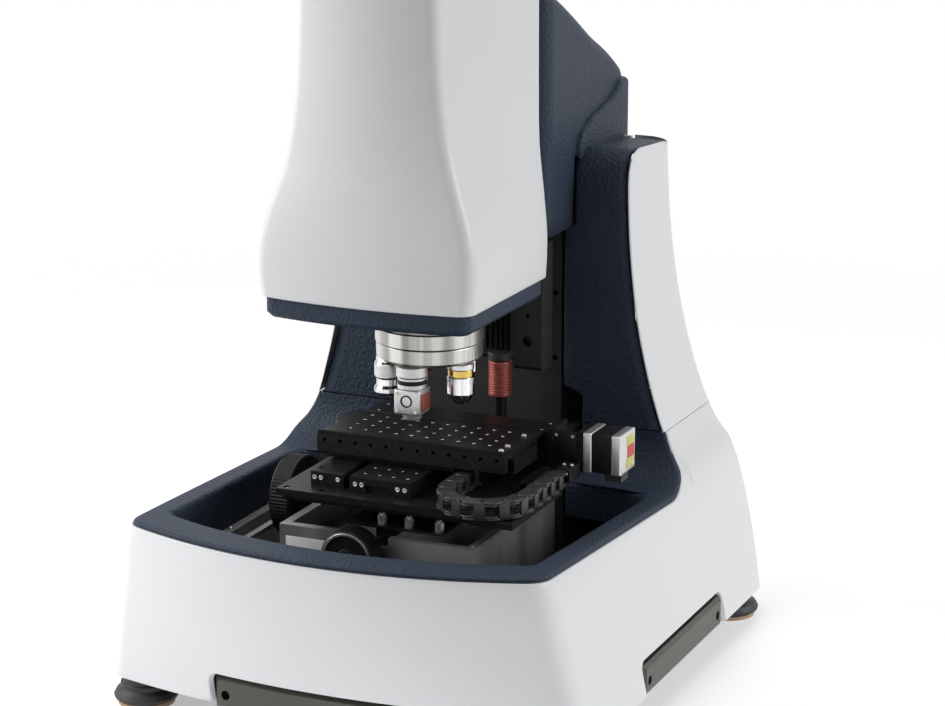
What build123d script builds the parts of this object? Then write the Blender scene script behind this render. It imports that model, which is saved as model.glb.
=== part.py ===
from build123d import *
import os
from math import cos, radians, sin

os.makedirs("parts", exist_ok=True)

# An optical profiler: a bench instrument with a white moulded housing, a stage in a sunken well,
# and a measuring head that slides up and down in front of a column.
# The frame stands on the bench at z = 0, with X to the right, Y to the back and the origin
# under the middle of the whole outline.

# Housing outline, from the bench up
shell_bottom = 26.0
shell_wall = 4.5
shell_half_width = 222.0
rim_drop = 4.4
front_bow = 44.0
housing_rear = 256.0
seam_height = 206.0
seam_gap = 0.6
cover_top_half_width = 131.0

# Side profile of the deck and the column wings
deck_front_height = 175.6
deck_rear_height = 159.6
wing_face = 101.0
wing_top = 454.0
wing_top_rear = 446.5
deck_fillet = 42.0
shoulder_fillet = 26.0
liner_inset = 1.6
liner_wall = 3.2

# Well in the deck
well_front_half = 165.0
well_rear_half = 172.0
well_front_corner = -184.0
well_front_bow = 39.0
well_rear = 64.0
well_bottom = 129.0
well_wall = 3.0
floor_top = 92.0
ledge_inner = 160.0
ledge_top = 128.0

# Head
head_bottom = 359.5
head_top = 741.0
head_rear = 10.0
head_bow = 10.0
head_wall = 4.0
skirt_bottom = 342.0

# Turret and objectives
turret_axis_y = -22.0
turret_radius = 47.0
turret_parting = 303.4
turret_bottom = 287.5
objective_circle = 36.0
objective_count = 5
michelson_tip = 241.0

# Column
hood_half_width = 83.0
hood_front = 37.0
hood_bottom = 385.0
hood_wall = 3.0
column_front = 112.0

# Stage stack
block_half_width = 90.0
block_front = -133.0
block_depth = 178.0
block_bottom = 92.0
block_top = 157.0
tip_axis_height = 150.0
tilt_axis_height = 171.0
tilt_axis_y = -45.0
tip_plate_top = 163.5
left_knob_height = 154.0
plate_half_width = 91.0
plate_front = -137.0
plate_depth = 182.0
plate_bottom = 179.5
plate_top = 189.6
carriage_top = 202.6
table_left = -79.0
table_right = 96.0
table_front = -82.5
table_rear = -9.0
table_bottom = 209.0
table_web = 224.5
table_top = 227.5
hole_pitch = 14.6
hole_columns = 10
hole_rows = 4
hole_grid_centre = (9.5, -43.0)

# Drive motor of the X axis
motor_size = 35.2
motor_start = 136.0
motor_length = 35.5
motor_y = 10.8
motor_z = 212.6

# Cable chain, lying on its side
link_pitch = 18.0
link_turn = 30.0
bend_links = 6
chain_radius = link_pitch / 2 / sin(radians(link_turn / 2))
chain_thickness = 14.0
chain_bottom = 190.2
chain_height = 15.6
chain_centre_x = 93.5
chain_centre_y = -113.6
fixed_links = 3
moving_links = 4

# Feet and handle bars
bar_bolt_height = 35.5
rail_spacing = 74.0
rail_face = 100.0
foot_x = 192.9
foot_front = -188.0
foot_rear = 225.5
foot_radius = 28.0
bar_half_length = 103.0
bar_bottom = 23.0
bar_top = 51.0


def block(x0, x1, y0, y1, z0, z1, mode=Mode.ADD):
    """A plain rectangular block between two corners."""
    with Locations(((x0 + x1) / 2, (y0 + y1) / 2, (z0 + z1) / 2)):
        return Box(x1 - x0, y1 - y0, z1 - z0, mode=mode)


def save(piece, name):
    """Label a finished piece and write it as one STEP file."""
    piece.part.label = name
    export_step(piece.part, f"parts/{name}.step")


def footprint(height, half_front, half_rear, front, bow, rear, front_radius, rear_radius, inset=0.0):
    """One plan section: a bowed front, straight sides and a flat rear with rounded corners."""
    near = half_front - inset
    far = half_rear - inset
    front_y = front + inset
    rear_y = rear - inset
    with BuildSketch(Plane.XY.offset(height)) as section:
        with BuildLine():
            ThreePointArc((-near, front_y), (0, front_y - bow), (near, front_y))
            Line((near, front_y), (far, rear_y))
            Line((far, rear_y), (-far, rear_y))
            Line((-far, rear_y), (-near, front_y))
        make_face()
        corners = section.vertices().sort_by(Axis.Y)
        fillet(corners[:2], front_radius)
        fillet(section.vertices().sort_by(Axis.Y)[-2:], rear_radius)
    return section.sketch


# Plan sections of the housing: height, half widths at front and rear, front corner, bow, rear
lower_sections = [
    (shell_bottom, shell_half_width, shell_half_width, -204.7, 29.3, housing_rear),
    (70.0, 212.2, 213.0, -207.8, 37.4, 262.8),
    (115.0, 202.0, 204.0, -212.2, 42.0, 262.0),
    (163.0, 191.3, 196.0, -218.2, front_bow, 247.0),
]
upper_sections = [
    (163.0, 191.3, 196.0, -218.2, front_bow, 247.0),
    (172.0, 187.5, 193.0, -219.3, front_bow, 244.6),
    (185.0, 175.5, 184.0, -220.0, front_bow, 241.6),
    (206.0, 165.6, 174.0, -220.0, front_bow, 238.0),
    (235.0, 157.0, 164.5, -220.0, front_bow, 233.5),
    (267.0, 149.0, 156.0, -220.0, front_bow, 230.0),
    (300.0, 142.2, 149.0, -220.0, front_bow, 227.0),
    (345.0, 136.5, 142.5, -220.0, front_bow, 223.5),
    (400.0, 131.8, 138.0, -220.0, front_bow, 220.5),
    (460.0, cover_top_half_width, 136.0, -220.0, front_bow, 218.0),
]


def housing_body(sections, inset=0.0):
    """Loft the plan sections of the housing, drawn in by an inset, inside the open part."""
    plans = [
        footprint(height, half_front, half_rear, front, bow, rear, 24, 30, inset)
        for height, half_front, half_rear, front, bow, rear in sections
    ]
    loft(plans)


def deck_region(inset):
    """Side view of all that lies under the deck and behind the wing faces, drawn in by an inset."""
    with BuildSketch(Plane.YZ) as region:
        with BuildLine():
            Polyline(
                (-300, deck_front_height + 1.4),
                (wing_face, deck_rear_height),
                (wing_face, wing_top),
                (300, wing_top_rear - 3.5),
                (300, -20),
                (-300, -20),
                close=True,
            )
        make_face()
        inner = region.vertices().sort_by_distance((wing_face, deck_rear_height))[0]
        fillet(inner, deck_fillet)
        outer = region.vertices().sort_by_distance((wing_face, wing_top))[0]
        fillet(outer, shoulder_fillet)
        if inset:
            offset(amount=-inset, kind=Kind.INTERSECTION)
    return region.sketch


# Lower housing: one white moulding, a wall all round with cut-outs for the handle bars
with BuildPart() as outer_body:
    housing_body(lower_sections)
    housing_body(upper_sections)
with BuildPart() as inner_body:
    housing_body(lower_sections, shell_wall)
    housing_body(upper_sections, shell_wall)
with BuildPart() as deck_solid:
    extrude(deck_region(rim_drop), amount=260, both=True)

bar_cut_half = bar_half_length + 4.0
side_bar_front = -66.0
side_bar_rear = 130.0

with BuildPart() as lower_housing:
    add(outer_body.part)
    add(inner_body.part, mode=Mode.SUBTRACT)
    add(deck_solid.part, mode=Mode.INTERSECT)
    with BuildSketch(Plane.XY.offset(seam_height)):
        Rectangle(600, 700)
    extrude(amount=300, mode=Mode.SUBTRACT)
    with BuildSketch(Plane.XZ.offset(120)):
        with Locations((0, bar_top - 26)):
            RectangleRounded(2 * bar_cut_half, 60, 9)
    extrude(amount=200, mode=Mode.SUBTRACT)
    with BuildSketch(Plane.YZ.offset(150)):
        with Locations(((side_bar_front + side_bar_rear) / 2, bar_top - 26)):
            RectangleRounded(side_bar_rear - side_bar_front + 8, 60, 9)
    cut_side = extrude(amount=120, mode=Mode.SUBTRACT)
    mirror(cut_side, about=Plane.YZ, mode=Mode.SUBTRACT)
save(lower_housing, "lower_housing")

# Upper side covers: the two white wings of the column
with BuildPart() as wing_solid:
    extrude(deck_region(0.0), amount=260, both=True)

rear_panel_half = 95.0
with BuildPart() as wing_shell:
    add(outer_body.part)
    add(inner_body.part, mode=Mode.SUBTRACT)
    add(wing_solid.part, mode=Mode.INTERSECT)

with BuildPart() as right_side_cover:
    add(wing_shell.part)
    block(rear_panel_half + 0.3, 260, -300, 300, seam_height + seam_gap, 470, Mode.INTERSECT)
save(right_side_cover, "right_side_cover")

with BuildPart() as left_side_cover:
    mirror(right_side_cover.part, about=Plane.YZ)
save(left_side_cover, "left_side_cover")

# Rear panel: the sheet between the side covers, with its ventilation slots
with BuildPart() as rear_panel:
    add(wing_shell.part)
    half = rear_panel_half - 0.3
    block(-half, half, 150, 300, seam_height + seam_gap, 470, Mode.INTERSECT)
    with BuildSketch(Plane.XZ.offset(-190)):
        with GridLocations(16, 56, 9, 2):
            with Locations((0, 350)):
                SlotOverall(42, 5, rotation=90)
    extrude(amount=-60, mode=Mode.SUBTRACT)
    block(-64.3, -13.7, 200, 260, 261.7, 296.3, Mode.SUBTRACT)
save(rear_panel, "rear_panel")

# Deck liner: the blue rim band, the walls of the well and the sweep up to the column
with BuildPart() as deck_trim:
    housing_body(lower_sections, 0.8)
    housing_body(upper_sections, 0.8)


def well_outline(height, outset=0.0):
    """Plan of the well at one height: a bowed front and rounded corners."""
    near = well_front_half + outset
    far = well_rear_half + outset
    front_y = well_front_corner - outset
    rear_y = well_rear + outset
    with BuildSketch(Plane.XY.offset(height)) as outline:
        with BuildLine():
            ThreePointArc((-near, front_y), (0, front_y - well_front_bow), (near, front_y))
            Polyline((near, front_y), (far, rear_y), (-far, rear_y), (-near, front_y))
        make_face()
        fillet(outline.vertices().sort_by(Axis.Y)[:2], 12 + outset)
        fillet(outline.vertices().sort_by(Axis.Y)[-2:], 26 + outset)
    return outline.sketch


column_gap_half = 92.0
with BuildPart() as deck_sheet:
    extrude(deck_region(0.0), amount=260, both=True)
    extrude(deck_region(rim_drop - 0.4), amount=260, both=True, mode=Mode.SUBTRACT)
    add(deck_trim.part, mode=Mode.INTERSECT)

with BuildPart() as deck_liner:
    extrude(well_outline(well_bottom, well_wall), amount=60)
    add(wing_solid.part, mode=Mode.INTERSECT)
    add(deck_sheet.part)
    extrude(well_outline(well_bottom - 1), amount=90, mode=Mode.SUBTRACT)
    block(-column_gap_half, column_gap_half, 40, 130, 100, 300, Mode.SUBTRACT)
    block(-300, 300, -300, 300, 0, seam_height, Mode.INTERSECT)
save(deck_liner, "deck_liner")

# Column liner: the blue faces of the wings, the shelf on top and the cowl round the hood
cowl_half_width = hood_half_width + 4.6
cowl_rear = 232.0
cowl_top = 499.5
with BuildPart() as liner_trim:
    housing_body(upper_sections, shell_wall + 0.7)

with BuildPart() as column_liner:
    extrude(deck_region(liner_inset), amount=260, both=True)
    extrude(deck_region(liner_inset + liner_wall), amount=260, both=True, mode=Mode.SUBTRACT)
    add(liner_trim.part, mode=Mode.INTERSECT)
    block(-300, 300, 80, 206, seam_height + seam_gap, 470, Mode.INTERSECT)
    with BuildSketch(Plane.XZ.offset(-80)):
        with BuildLine():
            Polyline((-column_gap_half, 190), (-column_gap_half, 232), (-74, 238), (-74, 560))
            Polyline((-74, 560), (74, 560), (74, 238), (column_gap_half, 232), (column_gap_half, 190))
            Line((column_gap_half, 190), (-column_gap_half, 190))
        make_face()
    extrude(amount=-40, mode=Mode.SUBTRACT)
    block(-hood_half_width - 0.4, hood_half_width + 0.4, 90, 300, 300, 470, Mode.SUBTRACT)
    with BuildSketch(Plane.YZ):
        with BuildLine():
            Spline((105, 444), (106, 456), (137, 476.5), (185, 487), (207, cowl_top))
            Polyline((207, cowl_top), (cowl_rear, cowl_top), (cowl_rear, 444), (105, 444))
        make_face()
    extrude(amount=cowl_half_width, both=True)
    block(-hood_half_width - 0.4, hood_half_width + 0.4, 90, cowl_rear - 4, 300, 520, Mode.SUBTRACT)
    block(-95.3, 95.3, 206, 240, 440, 448.8, Mode.SUBTRACT)
save(column_liner, "column_liner")


# Hood: the domed blue cover over the top of the column, open towards the head
with BuildPart() as hood:
    with BuildSketch(Plane.YZ):
        with BuildLine():
            dome = Spline(
                (hood_front, 603),
                (70, 590),
                (106, 572),
                (150, 548),
                (192, 528),
                (218, 513),
                tangents=((1, -0.18), (0.75, -1)),
            )
            ThreePointArc((218, 513), (221, 506), (214, 501))
            Polyline((214, 501), (203, 498), (203, 453), (99, 453), (99, hood_bottom))
            Polyline((99, hood_bottom), (hood_front, hood_bottom), (hood_front, 603))
        make_face()
    extrude(amount=hood_half_width, both=True)
    fillet(hood.edges().filter_by(Axis.Z).group_by(Axis.Y)[0], 16)
    with BuildSketch(Plane.YZ):
        with BuildLine():
            Spline(
                (hood_front + hood_wall, 599),
                (70, 586),
                (106, 568),
                (150, 544),
                (192, 524),
                (209, 514),
                tangents=((1, -0.18), (0.75, -1)),
            )
            Polyline((209, 514), (209, 506), (200, 501), (200, 430), (102, 430), (102, 370))
            Polyline((102, 370), (hood_front + hood_wall, 370), (hood_front + hood_wall, 599))
        make_face()
    extrude(amount=hood_half_width - hood_wall, both=True, mode=Mode.SUBTRACT)
    block(-64, 64, 20, 60, 350, 590, Mode.SUBTRACT)
    with BuildSketch(Plane.XY.offset(500)):
        with Locations((0, 133)):
            with GridLocations(13, 1, 11, 1):
                SlotOverall(34, 6, rotation=90)
    extrude(amount=100, mode=Mode.SUBTRACT)
save(hood, "hood")

# Chassis casting, with the raised floor at the rear, and the ledges beside the stage
with BuildPart() as base_casting:
    extrude(footprint(shell_bottom, 222, 222, -204.7, 29.3, housing_rear, 24, 30, 8.5), amount=14)
    block(-107, 107, -260, -206, 20, 50, Mode.SUBTRACT)
    block(194, 230, side_bar_front - 4, side_bar_rear + 4, 20, 50, Mode.SUBTRACT)
    block(-230, -194, side_bar_front - 4, side_bar_rear + 4, 20, 50, Mode.SUBTRACT)
    with BuildSketch(Plane.XY.offset(40)):
        with Locations((0, 15)):
            RectangleRounded(352, 416, 30)
    extrude(amount=floor_top - 40)
    block(-86, 86, 74, 222, floor_top, 200)
    with BuildSketch(Plane.XY.offset(floor_top)):
        with Locations((-112, -150), (112, -150), (-112, 60), (112, 60)):
            Circle(9)
            Circle(4.5, mode=Mode.SUBTRACT)
    extrude(amount=3)
save(base_casting, "base_casting")

with BuildPart() as side_ledges:
    with Locations((ledge_inner + 3.5, -20, ledge_top - 2)):
        Box(9, 160, 4)
    block(ledge_inner - 1, ledge_inner + 2.5, -100, 60, floor_top, ledge_top)
    with BuildSketch(Plane.XY.offset(ledge_top)):
        with Locations((ledge_inner + 4, -85), (ledge_inner + 4, 45)):
            Circle(1.6)
    extrude(amount=-6, mode=Mode.SUBTRACT)
    mirror(about=Plane.YZ)
save(side_ledges, "side_ledges")

with BuildPart() as stage_rail:
    block(-143, -137, -125, 4, 124, 128.5)
    with Locations((-140, -112, 0), (-140, -8, 0)):
        with Locations((0, 0, floor_top + 16)):
            Cylinder(3.5, 32)
save(stage_rail, "stage_rail")

# Feet: turned black bells with steps, each on a pale pad
foot_places = [
    (foot_x, foot_front),
    (-foot_x, foot_front),
    (foot_x, foot_rear),
    (-foot_x, foot_rear),
]
with BuildPart() as feet:
    for across, along in foot_places:
        with BuildSketch(Plane((across, along, 0), x_dir=(1, 0, 0), z_dir=(0, -1, 0))):
            with BuildLine():
                Polyline((0, 3.5), (22, 3.5), (foot_radius - 1, 5), (foot_radius, 8), (25.5, 12.5))
                Polyline((25.5, 12.5), (22, 15), (22, 19), (20, 20), (20, 24), (18, 25.5))
                Polyline((18, 25.5), (18, 26), (0, 26), (0, 3.5))
            make_face()
        revolve(axis=Axis((across, along, 0), (0, 0, 1)))
save(feet, "feet")

with BuildPart() as foot_pads:
    with BuildSketch():
        with Locations(*foot_places):
            Circle(24.5)
    extrude(amount=3.5)
save(foot_pads, "foot_pads")

# Handle bars in the foot of the housing, each with two counterbored bolts
with BuildPart() as front_handle_bar:
    with BuildSketch(Plane.XY.offset(bar_bottom)):
        with BuildLine():
            ThreePointArc((-bar_half_length, -229), (0, -235.5), (bar_half_length, -229))
            Polyline(
                (bar_half_length, -229),
                (bar_half_length, -206),
                (-bar_half_length, -206),
                (-bar_half_length, -229),
            )
        make_face()
    extrude(amount=bar_top - bar_bottom)
    outer_edges = front_handle_bar.faces().sort_by(Axis.Y)[0].edges()
    chamfer(outer_edges, 3.2)
    with BuildSketch(Plane.XZ.offset(240)):
        with Locations((-92, bar_bolt_height), (92, bar_bolt_height)):
            Circle(4.2)
    extrude(amount=-24, mode=Mode.SUBTRACT)
save(front_handle_bar, "front_handle_bar")

with BuildPart() as right_handle_bar:
    block(194, 218.6, side_bar_front, side_bar_rear, bar_bottom, bar_top)
    chamfer(right_handle_bar.faces().sort_by(Axis.X)[-1].edges(), 3.2)
    with BuildSketch(Plane.YZ.offset(220)):
        with Locations((side_bar_front + 11, bar_bolt_height), (side_bar_rear - 11, bar_bolt_height)):
            Circle(4.2)
    extrude(amount=-18, mode=Mode.SUBTRACT)
save(right_handle_bar, "right_handle_bar")

with BuildPart() as left_handle_bar:
    mirror(right_handle_bar.part, about=Plane.YZ)
save(left_handle_bar, "left_handle_bar")

with BuildPart() as handle_bolts:
    with BuildSketch(Plane.XZ.offset(216)):
        with Locations((-92, bar_bolt_height), (92, bar_bolt_height)):
            Circle(4.1)
    extrude(amount=7)
    with BuildSketch(Plane.XZ.offset(223)):
        with Locations((-92, bar_bolt_height), (92, bar_bolt_height)):
            RegularPolygon(1.8, 6)
    extrude(amount=-3, mode=Mode.SUBTRACT)
    with BuildSketch(Plane.YZ.offset(202)):
        with Locations((side_bar_front + 11, bar_bolt_height), (side_bar_rear - 11, bar_bolt_height)):
            Circle(4.1)
            RegularPolygon(1.8, 6, mode=Mode.SUBTRACT)
    bolt_pair = extrude(amount=6)
    mirror(bolt_pair, about=Plane.YZ)
save(handle_bolts, "handle_bolts")

# Column behind the head: the frame, its two rails and the closed screw drive between them
with BuildPart() as column_frame:
    with BuildSketch(Plane.YZ):
        Polygon((column_front, 200), (198, 200), (198, 496), (170, 516), (column_front, 552), align=None)
    extrude(amount=68, both=True)
    with BuildSketch(Plane.XZ.offset(-column_front)):
        with Locations((0, 404)):
            Rectangle(104, 300)
    extrude(amount=-6, mode=Mode.SUBTRACT)
    with BuildSketch(Plane.XZ.offset(-column_front)):
        with GridLocations(124, 60, 2, 5):
            with Locations((0, 380)):
                Circle(2.6)
    extrude(amount=-8, mode=Mode.SUBTRACT)
save(column_frame, "column_frame")

with BuildPart() as z_rails:
    with BuildSketch(Plane.XY.offset(262)):
        with Locations((-rail_spacing / 2, rail_face + 9), (rail_spacing / 2, rail_face + 9)):
            Rectangle(13, column_front + 6 - rail_face)
            with Locations((-6.5, -4), (6.5, -4)):
                Circle(2, mode=Mode.SUBTRACT)
    extrude(amount=246)
save(z_rails, "z_rails")

with BuildPart() as z_drive:
    block(-17, 17, rail_face + 1, column_front + 6, 262, 508)
    block(-21, 21, rail_face + 0.6, column_front + 6, 508, 514)
    block(-16, 16, rail_face + 0.6, column_front + 6, 514, 536)
    with BuildSketch(Plane.XZ.offset(-rail_face - 1)):
        with Locations((-11, 385), (11, 385)):
            SlotOverall(226, 3, rotation=90)
    extrude(amount=-3, mode=Mode.SUBTRACT)
save(z_drive, "z_drive")

with BuildPart() as z_carriage:
    block(-50, 50, 84, rail_face - 0.6, 352, 466)
    for side in (-rail_spacing / 2, rail_spacing / 2):
        block(side - 12, side + 12, rail_face - 0.6, rail_face + 8, 358, 396)
        block(side - 12, side + 12, rail_face - 0.6, rail_face + 8, 422, 460)
        block(side - 6.6, side + 6.6, rail_face - 0.2, rail_face + 9, 350, 470, Mode.SUBTRACT)
save(z_carriage, "z_carriage")

# Head: one moulded cover over the optics, with a soft front bow and sides that splay to the rear
head_sections = [
    (359.5, 96.5, -153.0, 97.0),
    (381.0, 99.0, -153.0, 98.0),
    (400.0, 98.5, -152.5, 98.0),
    (419.0, 95.0, -151.0, 96.5),
    (436.0, 90.0, -149.0, 95.0),
    (456.0, 82.5, -146.5, 93.0),
    (475.0, 76.0, -144.0, 91.5),
    (495.0, 71.0, -142.8, 91.0),
    (517.0, 67.5, -142.0, 91.0),
    (543.0, 64.5, -141.5, 91.0),
    (605.0, 61.5, -141.0, 91.0),
    (head_top - 7, 60.5, -140.0, 91.0),
]


def head_outline(height, half_front, front, half_rear, inset=0.0):
    """Plan section of the head at one height."""
    return footprint(height, half_front, half_rear, front, head_bow, head_rear, 14, 8, inset)


with BuildPart() as head_cover:
    loft([head_outline(*section) for section in head_sections[:10]])
    loft([head_outline(*section) for section in head_sections[9:]], ruled=True)
    crown = [(head_top - 7, 0), (head_top - 4, 0.9), (head_top - 1.2, 3.6), (head_top, 7)]
    loft([head_outline(height, 60.5, -140.0, 91.0, inset) for height, inset in crown], ruled=True)
    hollow = [head_outline(*section, head_wall) for section in head_sections]
    loft(hollow[:10], mode=Mode.SUBTRACT)
    loft(hollow[9:], ruled=True, mode=Mode.SUBTRACT)
    block(-56, 56, -2, 20, 340, 470, Mode.SUBTRACT)
save(head_cover, "head_cover")

with BuildPart() as head_skirt:
    extrude(
        footprint(skirt_bottom, 93, 94, -150, head_bow, head_rear - 3, 13, 8),
        amount=head_bottom - skirt_bottom,
    )
    chamfer(head_skirt.faces().sort_by(Axis.Z)[0].edges(), 4)
    extrude(footprint(346, 93, 94, -150, head_bow, head_rear - 3, 13, 8, 4), amount=20, mode=Mode.SUBTRACT)
    block(-56, 56, -2, 20, 340, 370, Mode.SUBTRACT)
    with BuildSketch(Plane.XY.offset(340)):
        with Locations((0, turret_axis_y)):
            Circle(33)
    extrude(amount=12, mode=Mode.SUBTRACT)
save(head_skirt, "head_skirt")

# Head chassis: the plate and tube inside the cover, and the bracket that joins it to the carriage
with BuildPart() as head_chassis:
    block(-54, 54, -128, 4, 352, 366)
    block(-50, 50, 4, 84, 354, 464)
    block(-38, 38, 20, 90, 380, 440, Mode.SUBTRACT)
    block(-50, 50, -8, 4, 366, 464)
    with Locations((0, turret_axis_y, 480)):
        Cylinder(26, 228)
    with Locations((0, turret_axis_y, 340)):
        Cylinder(28, 28)
save(head_chassis, "head_chassis")

with BuildPart() as turret_base:
    with Locations((0, turret_axis_y, (turret_parting + 315.4) / 2)):
        Cylinder(turret_radius, 315.4 - turret_parting)
    with Locations((0, turret_axis_y, (315.4 + 326) / 2)):
        Cylinder(turret_radius - 5, 326 - 315.4)
    with BuildSketch(Plane.XY.offset(turret_parting)):
        with Locations((0, turret_axis_y)):
            Circle(12)
    extrude(amount=16, mode=Mode.SUBTRACT)
    chamfer(turret_base.edges().filter_by(GeomType.CIRCLE).group_by(Axis.Z)[0].sort_by(SortBy.RADIUS)[-1], 0.8)
    block(-44, -18, turret_axis_y - 38, turret_axis_y - 22, 315.4, 341.5)
    with BuildSketch(Plane.XZ.offset(-turret_axis_y + 38)):
        with Locations((-36, 330), (-26, 330)):
            Circle(2)
    extrude(amount=-6, mode=Mode.SUBTRACT)
save(turret_base, "turret_base")

with BuildPart() as turret_disc:
    with BuildSketch(Plane((0, turret_axis_y, 0), x_dir=(1, 0, 0), z_dir=(0, -1, 0))):
        with BuildLine():
            Polyline(
                (0, turret_bottom),
                (turret_radius - 4, turret_bottom),
                (turret_radius - 0.8, turret_bottom + 3),
                (turret_radius - 0.8, turret_parting - 1.4),
                (turret_radius - 2, turret_parting - 0.3),
                (11.95, turret_parting - 0.3),
                (11.95, turret_parting + 14),
                (0, turret_parting + 14),
                (0, turret_bottom),
            )
        make_face()
    revolve(axis=Axis((0, turret_axis_y, 0), (0, 0, 1)))
    with BuildSketch(Plane.XY.offset(turret_bottom + 4)):
        with Locations((0, turret_axis_y)):
            with PolarLocations(turret_radius - 0.6, 60):
                Rectangle(1.2, 2)
    extrude(amount=8, mode=Mode.SUBTRACT)
save(turret_disc, "turret_disc")


def objective_place(number):
    """Centre of one objective on the turret circle."""
    angle = radians(-90 + number * 360 / objective_count)
    return objective_circle * cos(angle), turret_axis_y + objective_circle * sin(angle)


def turned(place, outline):
    """A turned body about an upright axis, from its radius and height points."""
    across, along = place
    upright = Plane((across, along, 0), x_dir=(1, 0, 0), z_dir=(0, -1, 0))
    with BuildPart() as body:
        with BuildSketch(upright):
            with BuildLine():
                Polyline(*outline, close=True)
            make_face()
        revolve(axis=Axis((across, along, 0), (0, 0, 1)))
    return body.part


# Objectives: the interference one in front, and four plain ones in three patterns
interference = objective_place(0)
with BuildPart() as objective_1:
    with Locations((interference[0], interference[1], 257.2)):
        Box(24, 24, 22.4)
    chamfer(objective_1.edges().filter_by(Axis.Z), 2.2)
    add(turned(interference, [(0, 287.3), (13.6, 287.3), (13.6, 279), (12.4, 278), (12.4, 268), (0, 268)]))
    add(turned(interference, [(0, 246.2), (9, 246.2), (8, michelson_tip), (0, michelson_tip)]))
    with BuildSketch(Plane.XZ.offset(-interference[1] + 12)):
        with Locations((interference[0], 258.5)):
            Circle(5.4)
            Circle(4.2, mode=Mode.SUBTRACT)
    extrude(amount=1)
    with BuildSketch(Plane.XZ.offset(-interference[1] + 12)):
        with Locations((interference[0], 258.5)):
            Circle(3.6)
    extrude(amount=-6, mode=Mode.SUBTRACT)
    with Locations((interference[0] + 12.6, interference[1], 257)):
        Box(2.4, 15, 14)
save(objective_1, "objective_1")

flared = [(0, 287.3), (10.6, 287.3), (10.6, 283), (12, 281), (12, 269), (10.4, 267.5), (10.4, 262)]
flared += [(12.4, 259), (12.4, 255.4), (6.5, 252), (0, 252)]
fluted = [(0, 287.3), (11.6, 287.3), (11.6, 276), (10.8, 275.2), (10.8, 272), (11.6, 271.2), (11.6, 261)]
fluted += [(9, 256), (5.6, 252), (0, 252)]
slim = [(0, 287.3), (10.4, 287.3), (10.4, 270), (8.6, 266), (7.4, 256), (5, 254), (0, 254)]

with BuildPart() as objective_2:
    add(turned(objective_place(1), fluted))
    with BuildSketch(Plane.XY.offset(277)):
        with Locations(objective_place(1)):
            with PolarLocations(11.9, 18):
                Circle(0.9)
    extrude(amount=8, mode=Mode.SUBTRACT)
save(objective_2, "objective_2")

with BuildPart() as objective_3:
    add(turned(objective_place(2), slim))
save(objective_3, "objective_3")

with BuildPart() as objective_4:
    add(turned(objective_place(3), slim))
save(objective_4, "objective_4")

with BuildPart() as objective_5:
    add(turned(objective_place(4), flared))
save(objective_5, "objective_5")

# Bracket at the foot of the head on the right, and the ribbed block beside it
bracket_rear = hood_front - 1.0
with BuildPart() as head_bracket:
    block(64, 90, 12, bracket_rear, 274, 385)
    block(50, 64, 12, bracket_rear, 366, 385)
    block(21, 45, 50, 72, 278.5, 354)
    fillet(head_bracket.edges().filter_by(Axis.X).group_by(Axis.Z)[0], 4)
    with BuildSketch(Plane.XZ.offset(-12)):
        with Locations((77, 300), (77, 346)):
            Circle(4.6)
        with Locations((77, 323)):
            Circle(1.8)
    extrude(amount=-7, mode=Mode.SUBTRACT)
    with BuildSketch(Plane.XZ.offset(-50)):
        with Locations((33, 316)):
            with GridLocations(5, 1, 5, 1):
                Rectangle(2.2, 80)
    extrude(amount=-3, mode=Mode.SUBTRACT)
save(head_bracket, "head_bracket")

# Stop behind the turret: a threaded post with a red knurled collar and a black cap
stop_place = (22.0, 80.0)
with BuildPart() as z_stop_rod:
    add(turned(stop_place, [(0, 200), (11, 200), (11, 206), (6, 207), (6, 266), (0, 266)]))
save(z_stop_rod, "z_stop_rod")

collar = [(6.05, 229), (9.4, 229), (10.4, 230), (10.4, 261), (9.4, 262), (6.05, 262)]
with BuildPart() as z_stop_collar:
    add(turned(stop_place, collar))
    with BuildSketch(Plane.XY.offset(232)):
        with Locations(stop_place):
            with PolarLocations(10.6, 24):
                Circle(0.7)
    extrude(amount=27, mode=Mode.SUBTRACT)
save(z_stop_collar, "z_stop_collar")

cap = [(0, 266), (6.05, 266), (6.05, 262.3), (10.6, 262.3), (11, 263), (11, 268.8), (10, 269.6), (0, 269.6)]
with BuildPart() as z_stop_cap:
    add(turned(stop_place, cap))
save(z_stop_cap, "z_stop_cap")

# Tilt stage: the silver block with its pocket, and the two adjusting knobs
tip_shaft_radius = 4.0
tilt_shaft_radius = 5.0
knob_shaft_radius = 3.0
front_knob_x = -14.5
front_knob_height = 143.0
with BuildPart() as tilt_base:
    block(-block_half_width, block_half_width, block_front, block_front + block_depth, block_bottom, block_top)
    block(-82, 82, block_front + 8, 37, block_top - 22, block_top + 1, Mode.SUBTRACT)
    block(-30, 12, block_front - 1, block_front + 9, block_top - 9, block_top + 1, Mode.SUBTRACT)
    with BuildSketch(Plane.XZ.offset(-block_front + 1)):
        with Locations((front_knob_x, front_knob_height)):
            Circle(knob_shaft_radius + 0.05)
    extrude(amount=-12, mode=Mode.SUBTRACT)
    with BuildSketch(Plane.YZ.offset(-block_half_width - 1)):
        with Locations((tilt_axis_y, left_knob_height)):
            Circle(knob_shaft_radius + 0.05)
    extrude(amount=12, mode=Mode.SUBTRACT)
    with BuildSketch(Plane.XZ.offset(129)):
        with Locations((0, tip_axis_height)):
            Circle(tip_shaft_radius + 0.05)
    extrude(amount=-171, mode=Mode.SUBTRACT)
    with BuildSketch(Plane.XY.offset(block_top)):
        with GridLocations(172, 160, 2, 2):
            with Locations((0, -44)):
                Circle(1.7)
    extrude(amount=-10, mode=Mode.SUBTRACT)
save(tilt_base, "tilt_base")

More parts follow.
